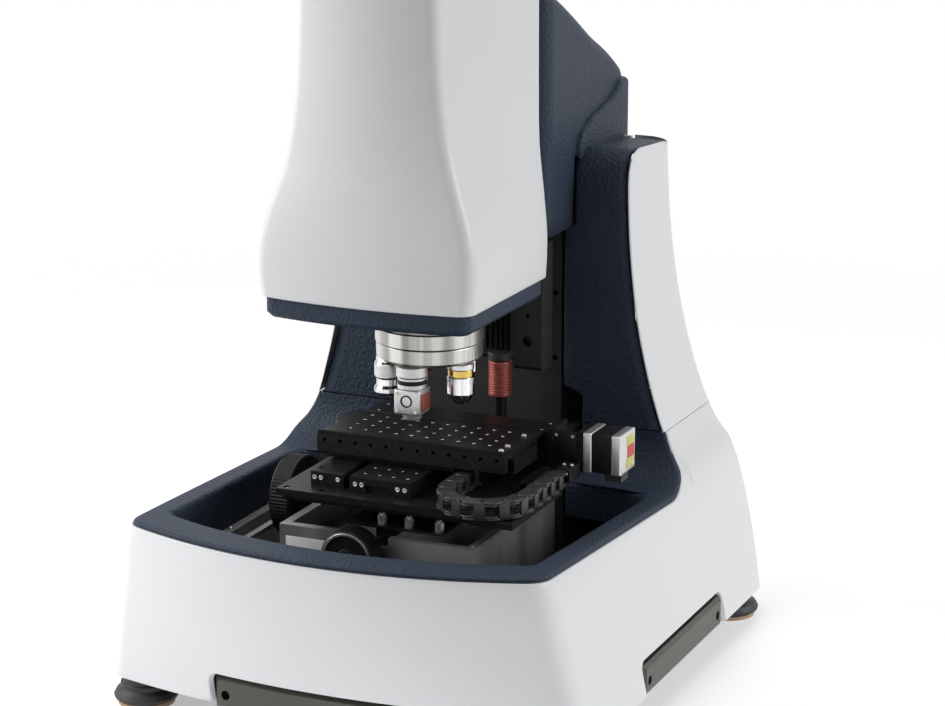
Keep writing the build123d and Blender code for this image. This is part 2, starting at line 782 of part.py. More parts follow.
front_profile = [(0, -121), (3, -121), (3, -134.5), (19, -134.5), (19, -137), (24, -138), (24, -158)]
front_profile += [(22.6, -159.4), (20.6, -159.4), (20, -158.4), (8.5, -158.4), (8.5, -162), (0, -162)]
with BuildPart() as front_tilt_knob:
    with BuildSketch(Plane.XY.offset(front_knob_height)):
        with BuildLine():
            Polyline(*[(front_knob_x + radius, along) for radius, along in front_profile], close=True)
        make_face()
    revolve(axis=Axis((front_knob_x, 0, front_knob_height), (0, 1, 0)))
    with BuildSketch(Plane.XZ.offset(159.4)):
        with Locations((front_knob_x, front_knob_height)):
            with PolarLocations(24.3, 40):
                Circle(0.9)
    extrude(amount=-20, mode=Mode.SUBTRACT)
save(front_tilt_knob, "front_tilt_knob")

left_profile = [(-78, 0), (-78, 3), (-91.5, 3), (-91.5, 9), (-104, 9), (-104, 20), (-109, 20)]
left_profile += [(-109, 34), (-111, 36), (-127, 36), (-129, 34), (-129, 0)]
with BuildPart() as left_tilt_knob:
    with BuildSketch(Plane.XZ.offset(-tilt_axis_y)):
        with BuildLine():
            Polyline(*[(across, left_knob_height + radius) for across, radius in left_profile], close=True)
        make_face()
    revolve(axis=Axis((0, tilt_axis_y, left_knob_height), (1, 0, 0)))
    with BuildSketch(Plane.YZ.offset(-127)):
        with Locations((tilt_axis_y, left_knob_height)):
            with PolarLocations(36.4, 48):
                Circle(1.1)
    extrude(amount=16, mode=Mode.SUBTRACT)
save(left_tilt_knob, "left_tilt_knob")

# Tip plate on its long shaft, with the lugs and posts that carry the tilt plate
with BuildPart() as tip_plate:
    block(-33, 57, -122, 32, 161, tip_plate_top)
    for along in (-116, 24):
        block(-7, 7, along, along + 5, tip_axis_height - 6, 161.5)
    with BuildSketch(Plane.XZ.offset(128.5)):
        with Locations((0, tip_axis_height)):
            Circle(tip_shaft_radius)
    extrude(amount=-170)
    for across in (-31, 25):
        block(across, across + 6, tilt_axis_y - 9, tilt_axis_y + 9, 163, tilt_axis_height + 7)
    with BuildSketch(Plane.YZ.offset(-45)):
        with Locations((tilt_axis_y, tilt_axis_height)):
            Circle(tilt_shaft_radius + 0.05)
    extrude(amount=90, mode=Mode.SUBTRACT)
save(tip_plate, "tip_plate")

with BuildPart() as tilt_posts:
    with BuildSketch(Plane.XY.offset(tip_plate_top)):
        with Locations((-3, -112), (22, -112), (50, -112)):
            Circle(4.2)
    extrude(amount=7)
    with BuildSketch(Plane.XY.offset(tip_plate_top + 7)):
        with Locations((-3, -112), (22, -112), (50, -112)):
            Circle(2.6)
    extrude(amount=2)
save(tilt_posts, "tilt_posts")

with BuildPart() as tilt_plate:
    block(-plate_half_width, plate_half_width, plate_front, plate_front + plate_depth, 183.5, plate_top)
    block(-87, 87, plate_front + 4, plate_front + plate_depth - 4, plate_bottom, 183.5)
    for across in (-42, -15, 9, 36):
        block(across, across + 6, tilt_axis_y - 7, tilt_axis_y + 7, tilt_axis_height - 7, 180)
    with BuildSketch(Plane.YZ.offset(-45)):
        with Locations((tilt_axis_y, tilt_axis_height)):
            Circle(tilt_shaft_radius + 0.02)
    extrude(amount=90, mode=Mode.SUBTRACT)
    with BuildSketch(Plane.XY.offset(plate_top)):
        with Locations((-84, -130), (84, -130), (-84, 38), (84, 38), (-52, -128), (52, 36), (-52, 36)):
            Circle(3.0)
    extrude(amount=-3.5, mode=Mode.SUBTRACT)
save(tilt_plate, "tilt_plate")

with BuildPart() as tilt_shaft:
    with BuildSketch(Plane.YZ.offset(-40)):
        with Locations((tilt_axis_y, tilt_axis_height)):
            Circle(tilt_shaft_radius)
    extrude(amount=80)
save(tilt_shaft, "tilt_shaft")

# Long travel: the fixed bar and rail on the tilt plate, and the carriage that slides along them
with BuildPart() as y_stage_bar:
    block(-68, -37, -116.5, 10, plate_top, 202.5)
    chamfer(y_stage_bar.faces().sort_by(Axis.Z)[-1].edges(), 0.8)
    block(-14, 11, -116.5, 10, plate_top, 196)
    with BuildSketch(Plane.XY.offset(202.5)):
        with Locations((-52.5, -53)):
            with GridLocations(20, 36, 2, 4):
                Circle(2.4)
    extrude(amount=-5, mode=Mode.SUBTRACT)
save(y_stage_bar, "y_stage_bar")

with BuildPart() as y_carriage:
    block(-30, 27, -120, 15, plate_top + 0.4, carriage_top)
    block(-14.3, 11.3, -121, 16, plate_top, 196.3, Mode.SUBTRACT)
    with BuildSketch(Plane.XZ.offset(120)):
        with Locations((-24, 196.5), (-18, 196.5), (15.5, 196.5), (22, 196.5)):
            Circle(1.7)
    extrude(amount=-4, mode=Mode.SUBTRACT)
    with BuildSketch(Plane.XY.offset(carriage_top)):
        with Locations((-1.5, -98)):
            with GridLocations(13, 18, 4, 2):
                Circle(1.5)
    extrude(amount=-5, mode=Mode.SUBTRACT)
save(y_carriage, "y_carriage")

# Cross travel: the rail and the drive housing behind it, with the motor at the right end
with BuildPart() as x_stage_base:
    block(-70, 104, -3, 27, 195, 226)
    block(-71, 45, -4, 28, 194, 203.2, Mode.SUBTRACT)
    block(-72, 46.5, -74, -1.5, carriage_top, 207)
    block(-72, 100, -70, -20, 206, 219)
    block(-60, 95, -4, 8, 210, 222, Mode.SUBTRACT)
    chamfer(x_stage_base.edges().filter_by(Axis.X).group_by(Axis.Z)[-1], 1)
    with BuildSketch(Plane.XY.offset(226)):
        with Locations((17, 12)):
            with GridLocations(156, 20, 2, 2):
                Circle(1.8)
    extrude(amount=-3, mode=Mode.SUBTRACT)
save(x_stage_base, "x_stage_base")

with BuildPart() as motor_bracket:
    half = motor_size / 2 - 0.1
    block(104, motor_start, motor_y - half, motor_y + half, 195, 230)
    block(108, motor_start - 5, motor_y - 20, motor_y + 20, 201, 231, Mode.SUBTRACT)
    with BuildSketch(Plane.YZ.offset(103)):
        with Locations((motor_y, motor_z)):
            Circle(9)
    extrude(amount=36, mode=Mode.SUBTRACT)
save(motor_bracket, "motor_bracket")

with BuildPart() as drive_coupling:
    with Locations((120, motor_y, motor_z)):
        Cylinder(7, 19, rotation=(0, 90, 0))
    with BuildSketch(Plane.YZ.offset(104)):
        with Locations((motor_y, motor_z)):
            Circle(4)
    extrude(amount=motor_start - 104)
save(drive_coupling, "drive_coupling")

with BuildPart() as x_motor:
    with BuildSketch(Plane.YZ.offset(motor_start)):
        with Locations((motor_y, motor_z)):
            Rectangle(motor_size, motor_size)
    extrude(amount=motor_length)
    chamfer(x_motor.edges().filter_by(Axis.X), 3.2)
    for seam in (motor_start + 6, motor_start + motor_length - 7):
        with BuildSketch(Plane.YZ.offset(seam)):
            with Locations((motor_y, motor_z)):
                Rectangle(motor_size + 2, motor_size + 2)
                Rectangle(motor_size - 1.6, motor_size - 1.6, mode=Mode.SUBTRACT)
        extrude(amount=0.8, mode=Mode.SUBTRACT)
    with BuildSketch(Plane.YZ.offset(motor_start + motor_length)):
        with Locations((motor_y, motor_z)):
            with GridLocations(26, 26, 2, 2):
                Circle(2)
            Circle(4)
    extrude(amount=-1.5, mode=Mode.SUBTRACT)
save(x_motor, "x_motor")

with BuildPart() as motor_connector:
    block(154, 169, 1, 17, 187.5, 195)
    block(156, 167, 2.5, 15.5, 187, 190, Mode.SUBTRACT)
save(motor_connector, "motor_connector")

# Sample table: the moving channel with its driving arm, and the drilled plate on top
with BuildPart() as x_table:
    block(table_left, table_right, table_front, table_rear, table_bottom, table_web)
    block(table_left - 1, table_right + 1, table_front + 8, table_rear - 8, 200, 219.5, Mode.SUBTRACT)
    block(0, 30, table_rear - 1, 4, 212, 220)
    with BuildSketch(Plane.XZ.offset(-table_front)):
        with Locations((8.5, 220)):
            with GridLocations(hole_pitch, 1, 12, 1):
                Circle(1.7)
    extrude(amount=-5, mode=Mode.SUBTRACT)
    with BuildSketch(Plane.XY.offset(table_web)):
        with Locations(hole_grid_centre):
            with GridLocations((hole_columns - 1) * hole_pitch, (hole_rows - 1) * hole_pitch, 2, 2):
                Circle(1.8)
    extrude(amount=-6, mode=Mode.SUBTRACT)
save(x_table, "x_table")

with BuildPart() as sample_plate:
    with BuildSketch(Plane.XY.offset(table_web)):
        Polygon(
            (-79.6, -79.6),
            (-63.5, -72.5),
            (-78.4, -46.3),
            (-80.5, -27.4),
            (-78.3, -10.5),
            (100, -9),
            (93, -79),
            align=None,
        )
    extrude(amount=table_top - table_web)
    with BuildSketch(Plane.XY.offset(table_top)):
        with Locations(hole_grid_centre):
            with GridLocations(hole_pitch, hole_pitch, hole_columns, hole_rows):
                Circle(1.6)
    extrude(amount=-3, mode=Mode.SUBTRACT)
save(sample_plate, "sample_plate")


# Cable chain: links lie on their side, with overlapping end plates and solid crossbars
def chain_link(x0, y0, x1, y1):
    """One link between two pins: stepped plates above and below, joined by two crossbars."""
    reach = chain_thickness / 2
    place = Plane((x0, y0, chain_bottom), x_dir=(x1 - x0, y1 - y0, 0), z_dir=(0, 0, 1))
    with BuildPart() as link:
        for low, high, level in (
            (0.0, 1.9, "outer"),
            (chain_height - 1.9, chain_height, "outer"),
            (1.9, 3.7, "inner"),
            (chain_height - 3.7, chain_height - 1.9, "inner"),
        ):
            with BuildSketch(place.offset(low)):
                if level == "outer":
                    with Locations((5, 0)):
                        Rectangle(10, 2 * reach)
                    Circle(reach)
                else:
                    with Locations((13, 0)):
                        Rectangle(10, 2 * reach)
                    with Locations((link_pitch, 0)):
                        Circle(reach)
            extrude(amount=high - low)
        with BuildSketch(place):
            with Locations((9, reach - 0.7), (9, -reach + 0.7)):
                Rectangle(9, 1.4)
        extrude(amount=chain_height)
        with BuildSketch(place.offset(chain_height - 0.5)):
            Circle(3.2)
            Circle(2.4, mode=Mode.SUBTRACT)
        extrude(amount=0.5, mode=Mode.SUBTRACT)
    return link.part


def chain_run(pins):
    """A run of links through a list of pin centres."""
    for start, end in zip(pins, pins[1:]):
        add(chain_link(*start, *end))


left_leg_x = chain_centre_x - chain_radius
right_leg_x = chain_centre_x + chain_radius
with BuildPart() as chain_fixed_leg:
    chain_run([(left_leg_x, chain_centre_y + link_pitch * (fixed_links - n)) for n in range(fixed_links + 1)])
save(chain_fixed_leg, "chain_fixed_leg")

bend_pins = [
    (
        chain_centre_x + chain_radius * cos(radians(180 + link_turn * n)),
        chain_centre_y + chain_radius * sin(radians(180 + link_turn * n)),
    )
    for n in range(bend_links + 1)
]
with BuildPart() as chain_bend:
    chain_run(bend_pins)
save(chain_bend, "chain_bend")

with BuildPart() as chain_moving_leg:
    chain_run([(right_leg_x, chain_centre_y + link_pitch * n) for n in range(moving_links + 1)])
save(chain_moving_leg, "chain_moving_leg")

with BuildPart() as chain_tray:
    block(plate_half_width, 131, -148, -40, 184, 189.7)
    block(plate_half_width + 3, 128, -145, -43, 186, 191, Mode.SUBTRACT)
save(chain_tray, "chain_tray")

with BuildPart() as chain_bracket:
    block(right_leg_x - 7, right_leg_x + 7, -33, -8, 192, 196)
    block(right_leg_x - 7, right_leg_x + 7, -12, -8, 192, 204)
save(chain_bracket, "chain_bracket")

# Rear of the housing: the power inlet and the sockets in the rear panel
with BuildPart() as power_inlet:
    block(-64, -14, 221, 245.5, 262, 296)
    with BuildSketch(Plane.XZ.offset(-246)):
        with Locations((-51, 279)):
            RectangleRounded(21, 26, 3)
        with Locations((-27, 279)):
            RectangleRounded(14, 22, 1)
    extrude(amount=10, mode=Mode.SUBTRACT)
    block(-33, -21, 238, 243, 269, 289)
    for across, height in ((-55, 279), (-47, 279), (-51, 285)):
        block(across - 1, across + 1, 236, 243, height - 3, height + 3)
save(power_inlet, "power_inlet")
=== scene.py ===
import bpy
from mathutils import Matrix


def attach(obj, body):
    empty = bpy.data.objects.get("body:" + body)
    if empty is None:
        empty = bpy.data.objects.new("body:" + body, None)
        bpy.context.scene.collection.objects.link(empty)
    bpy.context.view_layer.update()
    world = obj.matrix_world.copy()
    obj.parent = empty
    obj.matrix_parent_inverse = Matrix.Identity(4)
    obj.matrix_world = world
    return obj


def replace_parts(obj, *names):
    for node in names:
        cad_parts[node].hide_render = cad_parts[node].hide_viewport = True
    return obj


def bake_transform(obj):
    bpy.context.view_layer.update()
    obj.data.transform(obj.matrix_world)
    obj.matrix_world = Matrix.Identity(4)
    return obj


bl_info = {
    "name": "Optical profiler",
    "version": (1, 0, 0),
    "blender": (4, 5, 0),
    "location": "View3D > Sidebar > Profiler",
    "description": "Builds the look of a bench-top optical profiler round its CAD frame",
    "category": "Object",
}

from math import cos, pi, radians, sin

import bmesh
import bpy
import numpy as np
from mathutils import Vector

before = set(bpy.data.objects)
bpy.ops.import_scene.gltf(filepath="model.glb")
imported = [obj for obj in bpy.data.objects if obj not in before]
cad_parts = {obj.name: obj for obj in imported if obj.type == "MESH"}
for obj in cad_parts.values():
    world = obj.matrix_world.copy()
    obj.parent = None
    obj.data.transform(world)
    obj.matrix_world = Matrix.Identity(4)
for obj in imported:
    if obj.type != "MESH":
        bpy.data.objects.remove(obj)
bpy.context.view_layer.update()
MM = 0.001
ORIGIN = (0.0, 0.0, 0.0)
UPRIGHT = np.array([0.0, 0.0, 1.0])
MIRROR = np.array([-1.0, 1.0, 1.0])


# Settings


def number(name, description, default, **more):
    """A number property."""
    return bpy.props.FloatProperty(name=name, description=description, default=default, **more)


def millimetres(name, description, default):
    """A size of the object in millimetres, the unit of its drawing."""
    return number(name, description + ", in millimetres", default)


def colour(name, description, *default):
    """A colour property in linear light."""
    return bpy.props.FloatVectorProperty(
        name=name, description=description, default=default, subtype="COLOR", size=3, min=0.0, max=1.0
    )


class ProfilerCamera(bpy.types.PropertyGroup):
    """Where the camera stands, what it takes in and how strong the lights are"""

    place: bpy.props.FloatVectorProperty(
        name="Place", description="Camera place", default=(0.9783, -2.1407, 0.8962), size=3, unit="LENGTH"
    )
    azimuth: number("Azimuth", "Turn of the view to the left", radians(23.88), unit="ROTATION")
    elevation: number("Elevation", "Downward tilt of the view", radians(14.57), unit="ROTATION")
    lens: number("Lens", "Focal length in millimetres", 106.67)
    key_power: number("Key light", "Power in watts", 38.0)
    side_power: number("Side light", "Power in watts", 36.0)
    top_power: number("Top light", "Power in watts", 16.0)
    sky_strength: number("Sky", "Strength of the pale sky", 0.10)
    floor_glow: number("Floor glow", "Light given off by the floor", 0.40)


class ProfilerColours(bpy.types.PropertyGroup):
    """Colours of the finishes, in linear light"""

    white: colour("White shell", "Painted white mouldings", 0.79, 0.80, 0.815)
    blue: colour("Blue shell", "Grained dark blue mouldings", 0.024, 0.036, 0.058)
    bronze: colour("Bronze", "Anodised handle bars", 0.085, 0.081, 0.070)
    anodised: colour("Anodised black", "Black stage parts", 0.012, 0.012, 0.0125)
    silver: colour("Machined silver", "Machined aluminium", 0.62, 0.62, 0.61)
    steel: colour("Steel", "Ground steel", 0.66, 0.65, 0.64)
    chrome: colour("Chrome", "Bright chrome", 0.78, 0.78, 0.79)
    red: colour("Red", "Ringed red collar", 0.42, 0.11, 0.09)
    tan: colour("Tan", "Pads under the feet", 0.42, 0.29, 0.18)
    rubber: colour("Black rubber", "Feet and black casting", 0.014, 0.014, 0.015)
    grey: colour("Grey", "Painted grey ledges and carriage", 0.30, 0.30, 0.30)
    pale: colour("Pale metal", "Pale head chassis", 0.58, 0.57, 0.54)
    plastic: colour("Chain plastic", "Moulded links of the chain", 0.036, 0.036, 0.037)
    brass: colour("Gold band", "Band round an objective", 0.62, 0.44, 0.12)
    paper: colour("Label", "Plain label on the tilt block", 0.90, 0.90, 0.88)
    yellow: colour("Yellow field", "Plain field on the motor's end", 0.62, 0.60, 0.16)
    label_red: colour("Red field", "Plain field on the motor's end", 0.60, 0.07, 0.05)
    # painted shade: a near black that stands in for the shade inside the hood's slots
    void: colour("Dark opening", "Inside of the hood's slots", 0.004, 0.004, 0.004)


class ProfilerSizes(bpy.types.PropertyGroup):
    """Driving sizes of the mouldings, the same as the CAD source's"""

    shell_bottom: millimetres("Shell bottom", "Lower edge of the housing", 26.0)
    seam: millimetres("Seam", "Height of the seam between the housing and the covers", 206.0)
    shell_wall: millimetres("Shell wall", "Thickness of the white mouldings", 4.5)
    deck_front: millimetres("Deck front", "Deck height at the front limit of the profile", 175.6)
    deck_rear: millimetres("Deck rear", "Deck height where the sweep to the column starts", 159.6)
    wing_face: millimetres("Wing face", "Distance of the column's wing faces behind the centre", 101.0)
    wing_top: millimetres("Wing top", "Height of the side covers", 454.0)
    head_bottom: millimetres("Head bottom", "Lower edge of the head cover", 359.5)
    head_top: millimetres("Head top", "Top of the head cover", 741.0)
    hood_half: millimetres("Hood half width", "Half width of the hood", 83.0)


# Node trees


def fill(slot, value):
    """Link a socket to a node's input, or set the input to a value."""
    if isinstance(value, Socket):
        value.tree.links.new(value.source, slot)
    else:
        slot.default_value = value


class Socket:
    """One output of a node tree; arithmetic on it adds Math nodes to the tree."""

    def __init__(self, tree, source):
        self.tree, self.source = tree, source

    def math(self, operation, *values):
        """One Math node with these values, each a number or a socket."""
        node = self.tree.nodes.new("ShaderNodeMath")
        node.operation = operation
        for slot, value in zip(node.inputs, values):
            fill(slot, value)
        return Socket(self.tree, node.outputs[0])

    def __add__(self, value):
        return self.math("ADD", self, value)

    def __sub__(self, value):
        return self.math("SUBTRACT", self, value)

    def __rsub__(self, value):
        return self.math("SUBTRACT", value, self)

    def __mul__(self, value):
        return self.math("MULTIPLY", self, value)

    def __truediv__(self, value):
        return self.math("DIVIDE", self, value)

    def __pow__(self, value):
        return self.math("POWER", self, value)

    __radd__, __rmul__ = __add__, __mul__

    def low(self, value):
        """The smaller of the two."""
        return self.math("MINIMUM", self, value)

    def high(self, value):
        """The larger of the two."""
        return self.math("MAXIMUM", self, value)

    def ramp(self, start, end):
        """Nought before start, one after end and a smooth rise between them."""
        part = ((self - start) / (end - start)).low(1.0).high(0.0)
        return part * part * (3.0 - 2.0 * part)


class Nodes:
    """A node tree that expressions build up."""

    def __init__(self, tree):
        self.tree = tree

    def node(self, kind, settings=None, output=0, **values):
        """Any node with its settings, then its inputs by name or as i and a number; gives one output."""
        made = self.tree.nodes.new(kind)
        for key, value in (settings or {}).items():
            setattr(made, key, value)
        for key, value in values.items():
            fill(made.inputs[int(key[1:]) if key[1:].isdigit() else key], value)
        return Socket(self.tree, made.outputs[output])


class Finish(Nodes):
    """A material with one Principled shader, built up by expressions."""

    def __init__(self, name, **constants):
        self.material = bpy.data.materials.new(name)
        self.material.use_nodes = True
        super().__init__(self.material.node_tree)
        self.shader = next(n for n in self.tree.nodes if n.type == "BSDF_PRINCIPLED")
        self.feed(**constants)

    def feed(self, **values):
        """Set or link inputs of the shader, such as Base_Color, and give back the material."""
        for key, value in values.items():
            fill(self.shader.inputs[key.replace("_", " ")], value)
        return self.material

    def place(self, stretch=(1.0, 1.0, 1.0)):
        """Object coordinates in metres, times a stretch."""
        where = self.node("ShaderNodeTexCoord", output="Object")
        return self.node("ShaderNodeVectorMath", {"operation": "MULTIPLY"}, i0=where, i1=stretch)

    def noise(self, size, detail=2.0, stretch=(1.0, 1.0, 1.0)):
        """Noise from nought to one, with features of the given size in metres."""
        return self.node("ShaderNodeTexNoise", i0=self.place(stretch), Scale=1.0 / size, Detail=detail)

    def mix(self, factor, first, second):
        """Mix two colours by a factor."""
        return self.node("ShaderNodeMix", {"data_type": "RGBA"}, 2, i0=factor, i6=first, i7=second)

    def tone(self, factor, tint, dark, light):
        """A tint that goes from one share of its strength to another as the factor rises."""
        shares = [tuple(min(1.0, channel * share) for channel in tint) + (1.0,) for share in (dark, light)]
        return self.mix(factor, *shares)

    def bump(self, height, strength, distance):
        """Raise the surface by a height field."""
        self.feed(Normal=self.node("ShaderNodeBump", Height=height, Strength=strength, Distance=distance))


# Finishes


def white_shell(colours):
    """Satin white paint with a fine orange peel: two sizes of low noise raise it very slightly."""
    made = Finish("white shell", Coat_Weight=0.18, Coat_Roughness=0.22)
    peel = made.noise(0.0016)
    made.bump(peel + made.noise(0.0005, 1.0) * 0.35, 0.16, 0.00035)
    tone = made.tone(made.noise(0.09), colours.white, 0.985, 1.01)
    return made.feed(Base_Color=tone, Roughness=0.40 + peel * 0.10)


def blue_shell(colours):
    """Dark blue moulding with a leather grain: cells with low walls, and a tone that changes at random."""
    made = Finish("blue shell", Specular_IOR_Level=0.22)
    grain = made.node(
        "ShaderNodeTexVoronoi", {"feature": "SMOOTH_F1"}, Vector=made.place(), Scale=1.0 / 0.0024
    )
    fine = made.noise(0.0009)
    made.bump(grain.ramp(0.1, 0.75) * -1.0 + fine * 0.3, 0.75, 0.0006)
    tone = made.tone(made.noise(0.02, 3.0), colours.blue, 0.9, 1.12)
    return made.feed(Base_Color=tone, Roughness=0.46 + fine * 0.16)


def anodised(colours):
    """Black anodised metal: fine milling lines and a soft sheen."""
    made = Finish("black anodised", Metallic=0.1, Specular_IOR_Level=0.18)
    dust = made.noise(0.004, 3.0)
    made.bump(made.noise(0.0006, 2.0, (0.05, 1.0, 1.0)), 0.10, 0.00015)
    tone = made.tone(dust.ramp(0.35, 0.8), colours.anodised, 0.85, 1.5)
    return made.feed(Base_Color=tone, Roughness=0.34 + dust * 0.14)


def coated_glass():
    """Coated lens glass: dark, smooth and blue to violet where a slow noise runs over it."""
    made = Finish("coated glass", Roughness=0.04, Coat_Weight=1.0, Coat_Roughness=0.02)
    violet, blue = (0.02, 0.012, 0.05, 1.0), (0.01, 0.03, 0.07, 1.0)
    return made.feed(Base_Color=made.mix(made.noise(0.008, 1.0), violet, blue))


def machined(name, tint, stretch, smooth, spread, metallic, band, deep):
    """Machined metal: long thin tool marks along one way, and upright bands of a deeper tone that are painted
    reflections.
    """
    made = Finish(name, Metallic=metallic)
    marks = made.noise(0.0007, 3.0, stretch)
    # painted reflection: slow upright bands of darker and lighter colour stand in for the streaks that turned
    # metal mirrors
    slow = made.noise(band, 2.0, (1.0, 1.0, 0.04))
    made.bump(marks, 0.10, 0.0001)
    tone = made.tone(slow.ramp(0.36, 0.62), tint, deep, 1.06)
    return made.feed(Base_Color=tone, Roughness=smooth + marks * spread)


def satin(name, tint, smooth, grain, metallic=0.0):
    """Satin paint or moulded plastic: a fine grain and a slow change of tone."""
    made = Finish(name, Metallic=metallic)
    fine = made.noise(grain)
    made.bump(fine, 0.2, 0.00015)
    tone = made.tone(made.noise(0.025), tint, 0.86, 1.12)
    return made.feed(Base_Color=tone, Roughness=smooth + fine * 0.12)


# Material name, colour, stretch of the tool marks, least roughness and its spread, metallic share,
# width of the painted reflection bands in metres and the share of the tone in them
MACHINED = {
    "silver": ("machined silver", "silver", (0.05, 1.0, 1.0), 0.26, 0.16, 0.82, 0.05, 0.62),
    "steel": ("ground steel", "steel", (1.0, 1.0, 0.04), 0.24, 0.16, 1.0, 0.03, 0.9),
    "chrome": ("bright chrome", "chrome", (1.0, 1.0, 0.2), 0.07, 0.05, 1.0, 0.009, 0.42),
    "brass": ("gold band", "brass", (1.0, 1.0, 0.2), 0.14, 0.08, 1.0, 0.03, 0.9),
    "pale": ("pale metal", "pale", (0.08, 1.0, 1.0), 0.30, 0.14, 1.0, 0.016, 0.45),
}
# Material name, colour, least roughness, size of the grain in metres and metallic share
SATIN = {
    "satin_silver": ("satin silver", "silver", 0.30, 0.0006, 0.8),
    "bronze": ("bronze anodised", "bronze", 0.34, 0.0006, 0.7),
    "casting": ("black casting", "rubber", 0.55, 0.0014),
    "rubber": ("black rubber", "rubber", 0.48, 0.0010),
    "plastic": ("chain plastic", "plastic", 0.30, 0.0012),
    "tan": ("tan pad", "tan", 0.6, 0.0015),
    "paper": ("plain label", "paper", 0.5, 0.0010),
    "yellow": ("yellow label field", "yellow", 0.45, 0.0010),
    "label_red": ("red label field", "label_red", 0.45, 0.0010),
    # painted shade inside the hood's slots
    "void": ("dark opening", "void", 0.9, 0.0020),
    "grey": ("grey paint", "grey", 0.40, 0.0008),
    "red": ("red anodised", "red", 0.36, 0.0006, 0.5),
}
FINISH_OF_NODE = {
    "white": "lower_housing left_side_cover right_side_cover rear_panel head_cover",
    "blue": "deck_liner column_liner hood head_skirt",
    "casting": "base_casting column_frame",
    "grey": "side_ledges z_carriage",
    "steel": "stage_rail z_rails tilt_posts tilt_shaft drive_coupling",
    "rubber": "feet motor_connector power_inlet",
    "plastic": "chain_fixed_leg chain_bend chain_moving_leg",
    "tan": "foot_pads",
    "bronze": "front_handle_bar right_handle_bar left_handle_bar",
    "pale": "head_chassis turret_base turret_disc",
    "chrome": "objective_1 objective_2 objective_3 objective_4 objective_5",
    "red": "z_stop_collar",
    "silver": "tilt_base chain_bracket",
    "anodised": "handle_bolts z_drive z_stop_rod head_bracket z_stop_cap front_tilt_knob left_tilt_knob"
    " tip_plate tilt_plate y_stage_bar y_carriage x_stage_base motor_bracket x_table sample_plate"
    " chain_tray x_motor",
}
FINISHES = {}


class PROFILER_OT_finishes(bpy.types.Operator):
    """Make the finishes and put them on the CAD nodes"""

    bl_idname = "profiler.finishes"
    bl_label = "Finishes"

    def execute(self, context):
        colours = context.scene.profiler_colours
        FINISHES.clear()
        FINISHES.update(white=white_shell(colours), blue=blue_shell(colours))
        FINISHES.update(anodised=anodised(colours), glass=coated_glass())
        for make, rows in ((machined, MACHINED), (satin, SATIN)):
            for short, (name, tint, *values) in rows.items():
                FINISHES[short] = make(name, getattr(colours, tint), *values)
        for finish, nodes in FINISH_OF_NODE.items():
            for name in nodes.split():
                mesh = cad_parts[name].data
                mesh.materials.clear()
                mesh.materials.append(FINISHES[finish])
        return {"FINISHED"}


# Meshes


def quads(points, wrap=False, seen_from=None):
    """Faces of a grid of places; wrap joins the last row to the first.

    Each face takes four neighbours, and all of them are turned over where the sum of their areas times
    their reach shows that they look into the shape, or away from a place that the sheet is seen from.
    """
    rows, columns, _ = points.shape
    index = np.arange(rows * columns).reshape(rows, columns)
    after = np.roll(index, -1, axis=0) if wrap else index[1:]
    before = index if wrap else index[:-1]
    faces = np.stack([before[:, :-1], after[:, :-1], after[:, 1:], before[:, 1:]], -1).reshape(-1, 4)
    corner = points.reshape(-1, 3)[faces]
    across = np.cross(corner[:, 2] - corner[:, 0], corner[:, 3] - corner[:, 1])
    middle = corner.mean(axis=1)
    away = middle - middle.mean(axis=0) if seen_from is None else np.array(seen_from) * MM - middle
    return faces[:, ::-1] if (across * away).sum() < 0 else faces


def piece(name, points, faces, finish=None, body=None):
    """A smooth piece of places and faces, with places that meet made one, so that seams and poles close."""
    mesh = bpy.data.meshes.new(name)
    mesh.from_pydata(points, [], faces)
    work = bmesh.new()
    work.from_mesh(mesh)
    bmesh.ops.remove_doubles(work, verts=work.verts, dist=1e-7)
    work.to_mesh(mesh)
    work.free()
    mesh.polygons.foreach_set("use_smooth", np.ones(len(mesh.polygons), bool))
    mesh.update()
    made = bpy.data.objects.new(name, mesh)
    bpy.context.scene.collection.objects.link(made)
    if finish:
        mesh.materials.append(FINISHES[finish])
    if body:
        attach(made, body)
    return made


def grid_mesh(name, points, finish=None, body=None, wrap=False, seen_from=None):
    """One piece from one grid of places."""
    return piece(name, points.reshape(-1, 3), quads(points, wrap, seen_from), finish, body)


def merged(name, grids, finish, body):
    """One piece from several closed grids of places, each joined round from its last row to its first."""
    starts = np.cumsum([0] + [grid.shape[0] * grid.shape[1] for grid in grids])
    faces = np.concatenate([quads(grid, wrap=True) + start for grid, start in zip(grids, starts)])
    return piece(name, np.concatenate([grid.reshape(-1, 3) for grid in grids]), faces, finish, body)


def copies(name, shape, places, finish, body):
    """One mesh with the same closed grid at many places, each a shift in millimetres."""
    return merged(name, list(shape + np.array(places, float)[:, None, None] * MM), finish, body)


def mirrored(half):
    """A grid and its mirror image across the middle of the object, joined at the last row."""
    return np.concatenate([half, half[::-1][1:] * MIRROR])


# Paths and curves, in millimetres


def legs(start, *stops):
    """Numbers from a start through the end of each leg, in as many equal steps as the leg says."""
    path = [start]
    for stop, count in stops:
        path.extend(np.linspace(path[-1], stop, count + 1)[1:])
    return np.array(path)


def straight(first, second, count):
    """Arrays on the straight way from a first one to a second, both included."""
    return [first * (1 - part) + second * part for part in np.linspace(0, 1, count)]


def between(first, second, count):
    """Numbers on straight lines between two paths, as a grid with one path in its first column."""
    return np.stack(straight(first, second, count), 1)


def arc(centre, radius, start, stop, count):
    """Places on a circle arc from one angle to another, in degrees."""
    swing = np.radians(np.linspace(start, stop, count))
    return centre[0] + radius * np.cos(swing), centre[1] + radius * np.sin(swing)


def quarter(radius, count):
    """Steps of a quarter round: how far each lies inward and below, from the edge to the flat or back."""
    swing = np.radians(np.linspace(0, 90, count))
    return radius * (1 - np.cos(swing)), radius * (1 - np.sin(swing))


